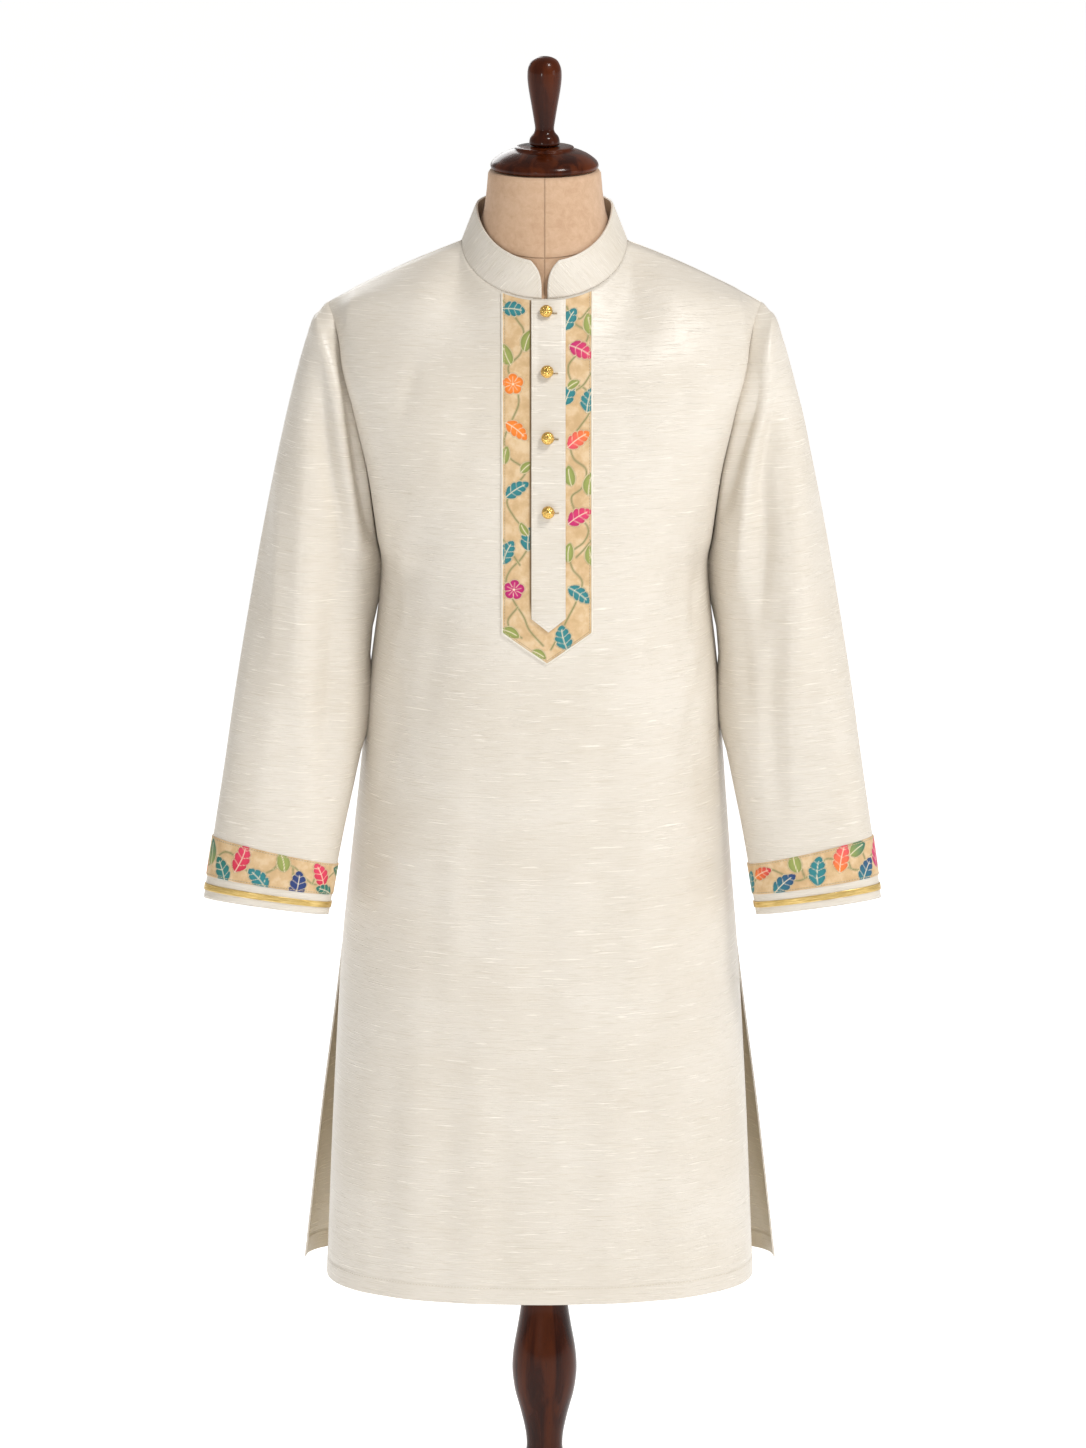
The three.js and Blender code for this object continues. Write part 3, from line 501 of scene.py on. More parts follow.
def skin(name, outer, normals, depth, finish, loop=False, ink=None):
    """A fine surface with its rims turned down by a depth, as a trim sewn on: the grid and one more ring round
    it."""
    down = outer - normals * depth
    grid = np.concatenate([down[:1], outer, down[-1:]])
    ways = np.concatenate([normals[:1], normals, normals[-1:]])
    pick = np.concatenate([[0], np.arange(len(outer)), [len(outer) - 1]])
    columns = np.arange(outer.shape[1])
    if not loop:
        grid = np.concatenate([down[pick, :1], grid, down[pick, -1:]], 1)
        ways = np.concatenate([ways[:, :1], ways, ways[:, -1:]], 1)
        columns = np.concatenate([[0], columns, [outer.shape[1] - 1]])
    faces = cells(*grid.shape[:2], loop)
    faces = faces[:, :: turn_of(faces, grid.reshape(-1, 3), ways.reshape(-1, 3))]
    uv = cloth_map(grid, loop)[:, : grid.shape[1]].reshape(-1, 2)[faces]
    piece = add_mesh(name, grid, faces.tolist(), [finish], uv)
    if ink is not None:
        colours = piece.data.color_attributes.new("ink", "FLOAT_COLOR", "POINT")
        colours.data.foreach_set("color", ink[pick][:, columns].reshape(-1).astype(np.float32))
    return piece


def row_of_stitches(line, normals, pitch=3):
    """Even places along a line, with the line's direction and the surface's normal at each."""
    reach = np.concatenate([[0], np.linalg.norm(np.diff(line, axis=0), axis=1).cumsum()])
    count = max(int(reach[-1] / pitch), 2)
    at = (np.arange(count) + 0.5) / count * reach[-1]
    parts = (line, np.gradient(line, axis=0), normals)
    return [np.stack([np.interp(at, reach, part[:, k]) for k in range(3)], -1) for part in parts]


# A stitch is a pointed grain: diamonds at shares of its length, each with its size, between two tips.
DIAMONDS = [(-0.36, 0.75), (0, 1), (0.36, 0.75)]
DIAMOND = [(1, 0), (0, 1), (-1, 0), (0, -1)]
# Length, width and height of the stitches of hems, and of the finer ones of silk trims and of printed trims.
HEM_STITCH = (2.1, 0.5, 0.3)
SILK_STITCH = (1.9, 0.42, 0.22)
PRINT_STITCH = (1.9, 0.42, 0.2)


def stitches(name, rows, size, finish):
    """Every stitch of the rows as a grain, in one mesh."""
    centre, along, up = (np.concatenate(parts) for parts in zip(*rows))
    along, up = unit(along), unit(up)
    length, width, height = size
    grain = [(place, share * a, share * b) for place, share in DIAMONDS for a, b in DIAMOND]
    grain = np.array(grain + [(-0.5, 0, 0), (0.5, 0, 0)])
    ways = np.stack([along * length, np.cross(up, along) * width / 2, up * height], 1)
    starts = np.arange(len(centre))[:, None] * len(grain)
    faces = closed_faces(len(DIAMONDS), len(DIAMOND))
    faces = [face for corners in faces for face in (starts + corners).tolist()]
    piece = add_mesh(name, centre[:, None] + grain @ ways, faces, [finish])
    return piece


def lathed(name, radius, height, base, finish):
    """Rings of a radius at rising heights, closed at both ends, on a base: its origin and three axes. A radius may
    differ round its ring."""
    origin, side, up, axis = base
    sides = radius.shape[1]
    angle = np.arange(sides) / sides * 2 * math.pi
    rings = (radius * np.cos(angle))[..., None] * side + (radius * np.sin(angle))[..., None] * up
    rings = origin + rings + height[1:-1, None, None] * axis
    ends = origin + height[[0, -1], None] * axis
    points = np.concatenate([rings.reshape(-1, 3), ends])
    return add_mesh(name, points, closed_faces(len(rings), sides), [finish])


def rounded(profile, reach=0.42, parts=6):
    """A turned profile drawn finer: a small curve takes the place of each corner, from a share of the way back to
    the same share of the way on."""
    profile = np.asarray(profile, float)
    before, here, after = (profile[k : len(profile) - 2 + k, None] for k in range(3))
    s = np.linspace(0, 1, parts)[:, None]
    curve = mix(mix(mix(here, before, reach), here, s), mix(here, mix(here, after, reach), s), s)
    return np.concatenate([profile[:1], curve.reshape(-1, 2), profile[-1:]])


# Finishes.


class Value:
    """One socket's output. Arithmetic on it adds Math nodes to its material."""

    def __init__(self, finish, socket):
        self.finish = finish
        self.socket = socket

    def __add__(self, other):
        return self.finish.math("ADD", self, other)

    def __sub__(self, other):
        return self.finish.math("SUBTRACT", self, other)

    def __mul__(self, other):
        return self.finish.math("MULTIPLY", self, other)


class Finish:
    """A material. node() adds a node: its settings come first, then the values or links of its sockets."""

    def __init__(self, name, **constants):
        self.material = bpy.data.materials.new(name)
        self.material.use_nodes = True
        self.tree = self.material.node_tree
        self.shader = self.tree.nodes["Principled BSDF"]
        for socket, value in constants.items():
            self.shader.inputs[socket.replace("_", " ")].default_value = value

    def feed(self, socket, value):
        if isinstance(value, Value):
            self.tree.links.new(value.socket, socket)
        else:
            socket.default_value = value

    def node(self, kind, settings=None, sockets=None, output=0):
        node = self.tree.nodes.new(kind)
        for key, value in (settings or {}).items():
            if key == "stops":
                ramp = node.color_ramp
                while len(ramp.elements) < len(value):
                    ramp.elements.new(0.5)
                for element, (place, colour) in zip(ramp.elements, value):
                    element.position = place
                    element.color = (*colour, 1)
            else:
                setattr(node, key, value)
        for key, value in (sockets or {}).items():
            self.feed(node.inputs[key], value)
        return Value(self, node.outputs[output])

    def math(self, operation, a, b=0.0):
        return self.node("ShaderNodeMath", {"operation": operation}, {0: a, 1: b})

    def place(self, scale, source="object"):
        """Object or cloth coordinates stretched by a scale on each axis."""
        if source == "object":
            start = self.node("ShaderNodeTexCoord", output="Object")
        else:
            start = self.node("ShaderNodeUVMap", {"uv_map": source})
        return self.node("ShaderNodeMapping", None, {"Vector": start, "Scale": scale})

    def noise(self, source, scale, detail, roughness, distortion=0.0):
        sockets = {"Vector": self.place(scale, source), "Scale": 1.0, "Detail": detail}
        return self.node("ShaderNodeTexNoise", None, sockets | {"Roughness": roughness, "Distortion": distortion})

    def span(self, value, low, high, to_low=0.0, to_high=1.0):
        sockets = {"Value": value, "From Min": low, "From Max": high, "To Min": to_low, "To Max": to_high}
        return self.node("ShaderNodeMapRange", {"interpolation_type": "SMOOTHSTEP"}, sockets)

    def blend(self, share, a, b):
        a, b = ((*c, 1) if isinstance(c, tuple) and len(c) == 3 else c for c in (a, b))
        return self.node("ShaderNodeMix", {"data_type": "RGBA"}, {0: share, 6: a, 7: b}, 2)

    def ramp(self, share, stops):
        return self.node("ShaderNodeValToRGB", {"stops": stops}, {"Fac": share})

    def colour(self, value):
        self.feed(self.shader.inputs["Base Color"], value)

    def roughness(self, value):
        self.feed(self.shader.inputs["Roughness"], value)

    def relief(self, height, depth):
        """Bump of a height from 0 to 1 that stands for a depth in metres."""
        bump = self.node("ShaderNodeBump", None, {"Height": height, "Distance": depth, "Strength": 1.0})
        self.feed(self.shader.inputs["Normal"], bump)


def silk_finish(name, light, dark, sheen, has_folds=False):
    """Raw silk: long thin slubs along the weft, pale and dark, a fine grain both ways, a soft crepe and broad
    changes of tone. Turned hems show as a deeper tone."""
    finish = Finish(name, Sheen_Weight=sheen, Sheen_Roughness=0.35, Specular_IOR_Level=0.7)
    slubs = finish.noise("cloth", (26, 560, 1), 3.0, 0.6, 0.5)
    thick = finish.span(slubs, 0.54, 0.70)
    thin = finish.noise("cloth", (38, 1250, 1), 2.0, 0.6, 0.2)
    dark_slubs = finish.span(finish.noise("cloth", (24, 700, 7), 2.0, 0.5, 0.3), 0.58, 0.72)
    warp = finish.noise("cloth", (1500, 60, 1), 2.0, 0.6)
    crepe = finish.noise("cloth", (95, 230, 1), 3.0, 0.6, 0.8)
    tone = finish.noise("cloth", (5, 9, 1), 3.0, 0.6)
    base = finish.blend(finish.span(tone, 0.3, 0.7), dark, light)
    pale = tuple(min(0.95, c * 1.22 + 0.01) for c in light)
    deep = tuple(c * k for c, k in zip(dark, (0.84, 0.81, 0.74)))
    base = finish.blend(finish.span(thin, 0.48, 0.72) * 0.4, base, deep)
    base = finish.blend(dark_slubs * 0.45, base, deep)
    base = finish.blend(thick * 0.85, base, pale)
    if has_folds:
        fold = finish.node("ShaderNodeAttribute", {"attribute_name": "fold"}, output="Fac")
        base = finish.blend(fold * 0.55, base, tuple(c * k for c, k in zip(dark, (0.86, 0.80, 0.68))))
    finish.colour(base)
    finish.roughness(finish.span(thin, 0.3, 0.7, 0.46, 0.36) - thick * 0.06)
    finish.relief(crepe * 0.75 + thick * 0.55 + thin * 0.25 + warp * 0.12, 0.00045)
    return finish


IVORY = (0.765, 0.712, 0.632)
SHADE = (0.715, 0.655, 0.565)
silk = silk_finish("silk", IVORY, SHADE, 0.08)
# The cloth's inner faces: a darker, warmer silk than the outside, partly the wrong side's own tone and partly
# painted shade of the garment's inside.
silk_inside_with_painted_shade = silk_finish("silk_inside_with_painted_shade", (0.62, 0.53, 0.38), (0.56, 0.47, 0.32), 0.03, True)


def print_finish():
    """Tan cloth with mottled ground, the painted ink of its leaves and vines, and a fine plain weave."""
    finish = Finish("printed_cloth", Sheen_Weight=0.1, Roughness=0.7)
    mottle = finish.noise("object", (70, 70, 70), 4.0, 0.62)
    ground = finish.ramp(finish.span(mottle, 0.3, 0.7), [
        (0.0, (0.61, 0.405, 0.205)), (0.5, (0.69, 0.48, 0.26)), (1.0, (0.77, 0.58, 0.36)),
    ])
    ink = finish.node("ShaderNodeAttribute", {"attribute_name": "ink"}, output="Color")
    amount = finish.node("ShaderNodeAttribute", {"attribute_name": "ink"}, output="Alpha")
    weave = finish.noise("object", (1400, 1400, 1400), 2.0, 0.6)
    finish.colour(finish.blend(amount, ground, ink))
    finish.roughness(finish.span(weave, 0.3, 0.7, 0.62, 0.78))
    finish.relief(weave, 0.0003)
    return finish


def ribbon_finish():
    finish = Finish("gold_ribbon", Metallic=0.75)
    twill = finish.noise("cloth", (60, 1500, 1), 2.0, 0.6)
    finish.colour(finish.blend(finish.span(twill, 0.35, 0.65), (0.55, 0.36, 0.10), (0.86, 0.64, 0.26)))
    finish.roughness(finish.span(twill, 0.3, 0.7, 0.45, 0.3))
    finish.relief(twill, 0.0003)
    return finish


def brass_finish():
    finish = Finish("button_metal", Metallic=1.0)
    spots = finish.noise("object", (900, 900, 900), 3.0, 0.6)
    finish.colour(finish.blend(finish.span(spots, 0.35, 0.7), (0.86, 0.58, 0.18), (0.62, 0.36, 0.08)))
    finish.roughness(finish.span(spots, 0.3, 0.7, 0.16, 0.34))
    sockets = {"Vector": finish.place((620, 620, 620)), "Scale": 1.0}
    cuts = finish.node("ShaderNodeTexVoronoi", {"feature": "F1"}, sockets)
    finish.relief(cuts, 0.0006)
    return finish


def cover_finish():
    """Brushed beige cover: soft mottling with a short nap."""
    finish = Finish("form_cover", Sheen_Weight=0.2, Sheen_Roughness=0.5)
    mottle = finish.noise("object", (120, 120, 120), 5.0, 0.7, 0.4)
    broad = finish.noise("object", (22, 22, 22), 3.0, 0.6)
    nap = finish.noise("object", (1100, 1100, 900), 3.0, 0.65)
    tone = finish.ramp(finish.span(mottle * 0.6 + broad * 0.4, 0.3, 0.7), [
        (0.0, (0.52, 0.325, 0.20)), (0.5, (0.585, 0.385, 0.245)), (1.0, (0.64, 0.435, 0.29)),
    ])
    place = finish.node("ShaderNodeTexCoord", output="Object")
    x, y, z = (finish.node("ShaderNodeSeparateXYZ", None, {"Vector": place}, k) for k in range(3))
    # The cover is pieced: one seam down the middle, one round the foot of the neck.
    middle = finish.span(finish.math("ABSOLUTE", x), 0.0002, 0.0009, 1.0, 0.0)
    foot = finish.span(finish.math("ABSOLUTE", z - y * 0.28 - 1.4586), 0.0002, 0.0010, 1.0, 0.0)
    seam = finish.math("MAXIMUM", middle, foot)
    colour = finish.blend(finish.span(nap, 0.45, 0.8) * 0.25, tone, (0.46, 0.30, 0.19))
    finish.colour(finish.blend(seam * 0.5, colour, (0.26, 0.15, 0.08)))
    finish.roughness(finish.span(nap, 0.3, 0.7, 0.8, 0.95))
    finish.relief(nap * 0.6 + mottle * 0.4 - seam * 1.5, 0.0004)
    return finish


def wood_finish():
    """Dark mahogany under gloss varnish: long wavy grain, red where the stain is thin."""
    finish = Finish("dark_wood", Coat_Roughness=0.07, Coat_Weight=0.22, Specular_IOR_Level=0.08)
    grain = finish.noise("object", (60, 60, 5), 3.0, 0.5, 0.7)
    pores = finish.noise("object", (700, 700, 22), 2.0, 0.6)
    stain = finish.noise("object", (11, 11, 6), 2.0, 0.5)
    wood = finish.ramp(finish.span(grain, 0.3, 0.7), [
        (0.0, (0.022, 0.0036, 0.0009)), (0.5, (0.046, 0.0078, 0.0013)), (1.0, (0.082, 0.016, 0.0026)),
    ])
    wood = finish.blend(finish.span(stain, 0.45, 0.75) * 0.4, wood, (0.15, 0.03, 0.005))
    finish.colour(finish.blend(finish.span(pores, 0.6, 0.78) * 0.4, wood, (0.008, 0.002, 0.001)))
    finish.roughness(finish.span(grain, 0.3, 0.7, 0.24, 0.32))
    finish.relief(pores, 0.00004)
    return finish


def thread_finish(name, dark, light):
    finish = Finish(name, Roughness=0.55, Sheen_Weight=0.1)
    strands = finish.noise("object", (1500, 1500, 1500), 2.0, 0.5)
    finish.colour(finish.blend(strands, dark, light))
    return finish


printed = print_finish()
ribbon = ribbon_finish()
brass = brass_finish()
cover = cover_finish()
wood = wood_finish()
thread = thread_finish("thread", (0.62, 0.54, 0.40), (0.74, 0.67, 0.54))
brown_thread = thread_finish("brown_thread", (0.24, 0.13, 0.04), (0.42, 0.25, 0.09))


# The body panels.


def dense_edges(count):
    """Places from -1 to 1 that lie closer together towards both ends."""
    t = np.linspace(-1, 1, count)
    return np.sign(t) * (1 - (1 - np.abs(t)) ** 1.4)


def panel_stations(count):
    """Even stations, with a few more beside the hem's fold and edge."""
    return np.unique(np.concatenate([np.linspace(HEM, TOP, count), HEM + np.array([1, 2.5, 17, 18.2, 19.8, 21])]))


HEM_WIDTH = 19
SIDE_HEM = 10
HEM_PITCH = 3.4
# Half width of the line in which a seam or a row of stitches draws the cloth in.
SEAM = 1.6


def panel_piece(name, node, is_front):
    """A body panel: the part's surface with its drag folds, finer creases, seams drawn in and hems turned in."""
    across = dense_edges(153)
    station = panel_stations(226)
    grid = panel(across, station, is_front)
    normals = grid_normals(grid) * (1 if is_front else -1)
    x, z = grid[..., 0], grid[..., 2]
    reach = cloth_map(grid) * 1000
    from_side, from_hem = from_ends(reach), reach[..., 1]
    is_slit = station[:, None] < SLIT_TOP + 0 * from_side
    fade = 1 - ease(0.84, 0.96, np.abs(across))[None]
    if is_front:
        grid[..., 1] += trough_depth(FRONT_FOLDS, x, z) * fade
    creases = FRONT_CREASES if is_front else BACK_CREASES
    # At the slits the cloth hangs free, so its folds run out to the edge there.
    free = np.maximum(fade, 1 - ease(SLIT_TOP - 120, SLIT_TOP, station)[:, None])
    depth = trough_depth(creases, x, z) * free * ease(0, 40, TOP - station)[:, None]
    seam = 0.5 * bell(from_side, SEAM) + 0.25 * bell(from_side, 7)
    seam = seam * (1 - 0.5 * ease(1180, 1300, station))[:, None] + 0.4 * bell(TOP - station, 2.5)[:, None]
    # Turned hems stand out a little, and sink along their stitching.
    hem = 1 - ease(HEM_WIDTH - 0.8, HEM_WIDTH + 0.8, from_hem)
    side_hem = 1 - ease(SIDE_HEM - 0.8, SIDE_HEM + 0.8, from_side)
    turned_in = np.maximum(hem, np.where(is_slit, side_hem, 0))
    depth = depth - 0.25 * turned_in + 0.35 * bell(from_hem - HEM_WIDTH, SEAM)
    depth = depth + np.where(is_slit, 0.3 * bell(from_side - SIDE_HEM, SEAM), seam)
    outer = grid - normals * depth[..., None]
    piece = shell(name, outer, normals, CLOTH * (1 + 0.9 * turned_in), [silk, silk_inside_with_painted_shade], fold=turned_in)
    show_for(piece, node)
    # Hems are stitched along their folds: across the bottom and up each side to the top of its slit.
    row = np.argmin(np.abs(station - HEM - HEM_WIDTH + 1.6))
    rows = [row_of_stitches(outer[row, 4:-4], normals[row, 4:-4], HEM_PITCH)]
    column = np.argmin(np.abs(from_side[0, :40] - SIDE_HEM + 1.4))
    is_low = station < SLIT_TOP - 4
    for k in (column, -1 - column):
        rows.append(row_of_stitches(outer[is_low, k], normals[is_low, k], HEM_PITCH))
    return piece, stitches(name + "_stitches", rows, HEM_STITCH, thread)


front_cloth, front_stitches = panel_piece("front_panel", "kurta_front", True)
back_cloth, back_stitches = panel_piece("back_panel", "kurta_back", False)


# The sleeves.


def armhole(samples):
    """The right armhole as a ring: up the front panel's edge, down the back's."""
    station = np.linspace(ARMPIT, TOP, samples)
    up, down = (panel(np.array([1.0]), station, is_front)[:, 0] for is_front in (True, False))
    down = down[::-1]
    top = mix(up[-1], down[0], 0.5)
    bottom = mix(up[0], down[-1], 0.5)
    return np.concatenate([bottom[None], up[1:-1], top[None], down[1:-1]])


def ring_shares(ring):
    """Share of the way round of each point: 0 at the armpit, a half at the shoulder."""
    half = len(ring) // 2
    lengths = np.linalg.norm(np.roll(ring, -1, 0) - ring, axis=1)
    shares = []
    for start, base in ((0, 0), (half, 0.5)):
        part = lengths[start : start + half]
        shares.append(base + 0.5 * np.concatenate([[0], part.cumsum()[:-1]]) / part.sum())
    return np.concatenate(shares)


start_ring = armhole(66)
shares = ring_shares(start_ring)


def sleeve_rings():
    """Every ring of the right sleeve at the same shares round: a superellipse between an outer and an inner
    point."""
    outer_x, outer_z, inner_x, inner_z, y, depth, rise, power = SLEEVE_RINGS.T[:, :, None]
    angle = shares[None] * 2 * math.pi
    reach = signed_power(-np.cos(angle), 2 / power)
    fore = signed_power(np.sin(angle), 2 / power)
    x = (outer_x + inner_x) / 2 + (outer_x - inner_x) / 2 * reach
    z = (outer_z + inner_z) / 2 + (outer_z - inner_z) / 2 * reach + rise * fore
    return np.concatenate([start_ring[None], np.stack([x, y - depth * fore, z], -1)])


rings = sleeve_rings()
half_way = len(start_ring) // 2
falls = np.linalg.norm(np.diff(rings[:, [0, half_way]], axis=0), axis=2).mean(1)
ring_distances = np.concatenate([[0], falls.cumsum()])
SLEEVE_LENGTH = ring_distances[-1]


def sleeve_grid(side, distances):
    """Rings of a sleeve at distances down it, still on the right side, and their outward normals."""
    grid = monotone(ring_distances, rings, distances)
    grid[..., 0] += SLEEVE_SWING[side] * ((distances / SLEEVE_LENGTH) ** 2)[:, None]
    return grid, -grid_normals(grid, True)


def on_side(side, *grids):
    """The grids, mirrored for the left sleeve."""
    flip = np.array([-1 if side == "left" else 1, 1, 1])
    return [grid * flip for grid in grids]


def sleeve_folds(folds, distances):
    """Summed depth of troughs that run down a sleeve, each at its own share of the way round."""
    total = np.zeros((len(distances), len(shares)))
    for place, start, end, width, depth, drift in folds:
        along = np.clip((distances - start) / (end - start), 0, 1)[:, None]
        across = shares[None] - place - drift * along
        across = across - np.round(across)
        total += depth * np.sin(math.pi * along) * bell(across, width)
    return total


# Share of the part's own round folds that stays under the ones drawn in front.
FOLD_SHARE = 0.35
# Millimetres round the armhole for its seam and round the sleeve for its weft, and the weft's slope.
ARMHOLE_GIRTH = 600
WEFT_GIRTH = 420
WEFT_DROP = 0.08


def sleeve_piece(side):
    """A sleeve: the part's surface with its folds, a small rise at its head, seams drawn in and the cuff's facing
    turned in. Its first ring is tucked under the body's edge."""
    distances = np.concatenate([np.linspace(0, 12, 9)[:-1], np.linspace(12, SLEEVE_LENGTH, 190)])
    down = distances[:, None]
    from_seam = np.minimum(shares, 1 - shares)
    grid, normals = sleeve_grid(side, distances)
    in_front = ease(0, 0.05, shares) * (1 - ease(0.45, 0.5, shares))
    fine = sleeve_folds(SLEEVE_CREASES[side], distances)
    fine = fine + line_depth(SLEEVE_LINES[side], grid[..., 0], grid[..., 2]) * in_front
    fine = fine + 2.8 * bell(down - 13, 9) * bell(shares - 0.5, 0.09)
    fine = fine * ease(0, 8, down) * (1 - ease(SLEEVE_LENGTH - 120, SLEEVE_LENGTH - 62, down))
    seam = (0.5 * bell(down, SEAM) + 0.25 * bell(down, 8)) * mix(1, 0.3, ease(0.15, 0.32, from_seam))
    under = 0.5 * bell(from_seam * ARMHOLE_GIRTH, 2.6) * ease(0, 30, down)
    turned_in = 1 - ease(CUFF_PRINT[0] + 2, CUFF_PRINT[0] + 4, SLEEVE_LENGTH - down) + 0 * fine
    depth = sleeve_folds(SLEEVE_FOLDS[side], distances) * FOLD_SHARE + fine + seam + under - 0.25 * turned_in
    outer = grid - normals * depth[..., None]
    tuck = outer[0] + unit(outer[0] - outer[3]) * 2.2 - normals[0] * 1.1
    outer = np.concatenate([tuck[None], outer])
    normals = np.concatenate([normals[:1], normals])
    turned_in = np.concatenate([turned_in[:1], turned_in])
    # The weft lies level across the sleeve, square to its length.
    closed = np.concatenate([outer, outer[:, :1]], 1)
    across = np.append(shares, 1) * WEFT_GIRTH + 0 * closed[..., 0]
    cloth = np.stack([across, closed[..., 2] - WEFT_DROP * closed[..., 0]], -1) / 1000
    outer, normals = on_side(side, outer, normals)
    thickness = CLOTH * (1 + 0.8 * turned_in)
    name = "sleeve_cloth_" + side
    piece = shell(name, outer, normals, thickness, [silk, silk_inside_with_painted_shade], True, cloth, turned_in)
    return show_for(piece, "sleeve_" + side)


sleeve_cloth = {side: sleeve_piece(side) for side in ("right", "left")}


# Printed leaves and vines, painted on the points of a trim. Each leaf: x and y of its middle, its turn in degrees,
# length, width, colours at its stalk and at its tip, and lobes, or petals with a minus.

TEAL = (0.022, 0.205, 0.225)
NAVY = (0.018, 0.042, 0.17)
MAGENTA = (0.50, 0.008, 0.145)
ROSE = (0.72, 0.05, 0.12)
ORANGE = (0.88, 0.215, 0.02)
CRIMSON = (0.60, 0.018, 0.055)
OLIVE = (0.29, 0.335, 0.085)
GREEN = (0.012, 0.15, 0.11)
VEIN = (0.90, 0.78, 0.56)
CREAM = (0.88, 0.72, 0.46)
STEM = (0.22, 0.235, 0.06)


def lay(ink, mask, colour):
    """Covers the ink's colour where the mask is 1."""
    share = mask[..., None]
    ink[..., :3] = mix(ink[..., :3], np.asarray(colour), share)
    ink[..., 3] = mix(ink[..., 3], 1, mask)


def soft(value, edge=0.5):
    """1 where the value is above 0, over a soft edge in millimetres."""
    return np.clip(value / edge + 0.5, 0, 1)


def blossom_shape(run, aside, length, width, petals):
    """How far inside a blossom each place is, its pale marks, and the share of its second colour. Its radius has a
    round lobe for each petal. Pale lines run out along the petals' middles and between them."""
    turn = petals / 2 * np.arctan2(aside, run)
    radius = np.hypot(run, aside * length / width)
    inside = length / 2 * (0.66 + 0.34 * np.abs(np.cos(turn)) ** 0.45) - radius
    toward, between = (np.abs(part(turn)) * radius * 2 / petals for part in (np.sin, np.cos))
    veins = soft(0.34 - toward) * soft(0.36 * length - radius) * soft(radius - 0.8)
    notch = soft(0.26 - between) * soft(radius - 0.14 * length)
    mark = np.maximum(np.maximum(veins * 0.55, notch), soft(1.1 - radius))
    return inside, mark, np.clip(radius / length * 2, 0, 1)


def leaf_shape(run, aside, length, width, lobes):
    """The same for a leaf. Its half width is a skewed arch cut into round lobes by notches that slant towards the
    tip, and plain leaves have one lobe. Pale lines run along the middle and out to each notch."""
    s = run / length + 0.5
    aside = np.abs(aside - 0.05 * length * np.sin(math.pi * np.clip(s, 0, 1)) + 0.03 * length)
    slant = np.clip(s - 0.55 * aside / length, 0, 1)
    lobe = 0.70 + 0.30 * np.abs(np.sin(math.pi * lobes * slant)) ** 0.5 if lobes > 1 else 1.0
    arch = np.sin(math.pi * np.clip(s, 0, 1) ** 0.85) ** 0.62
    inside = np.minimum(width / 2 * arch * lobe - aside, (0.5 - np.abs(s - 0.5)) * length)
    midrib = soft(0.38 - aside) * soft((0.84 - s) * length)
    between = np.abs(slant * lobes - np.round(slant * lobes)) * length / lobes
    veins = soft(0.24 - between) * soft(width * 0.46 - aside) if lobes > 1 else 0
    return inside, np.maximum(midrib, veins * 0.85), np.clip(s, 0, 1)


def draw_leaf(ink, x, y, leaf):
    """A leaf, or a blossom where the number of lobes is below 0, with a pale halo round it."""
    cx, cy, degrees, length, width, colour, second, lobes = leaf
    angle = math.radians(degrees)
    run = (x - cx) * math.cos(angle) + (y - cy) * math.sin(angle)
    aside = -(x - cx) * math.sin(angle) + (y - cy) * math.cos(angle)
    shape = blossom_shape if lobes < 0 else leaf_shape
    inside, mark, share_along = shape(run, aside, length, width, abs(lobes))
    lay(ink, soft(inside + 0.9) * 0.8, CREAM)
    mask = soft(inside)
    tone = mix(np.asarray(colour), np.asarray(second), share_along[..., None])
    tone = tone * (0.82 + 0.26 * np.clip(inside / 3, 0, 1))[..., None]
    ink[..., :3] = mix(ink[..., :3], tone, mask[..., None])
    ink[..., 3] = np.maximum(ink[..., 3], mask)
    lay(ink, mark * mask, VEIN)


def draw_vine(ink, x, y, path, width=1.35):
    """A stem along a smooth line through the path's points, with a pale halo."""
    away, _ = near_line(smooth_line(path, 8), x, y)
    lay(ink, soft(width / 2 + 0.7 - away) * 0.45, CREAM)
    lay(ink, soft(width / 2 - away) * 0.9, STEM)


def painted(x, y, vines, leaves):
    """Ink of the trim's points: its colour and how much it covers."""
    ink = np.zeros((*x.shape, 4))
    for path in vines:
        draw_vine(ink, x, y, path)
    for leaf in leaves:
        draw_leaf(ink, x, y, leaf)
    return ink


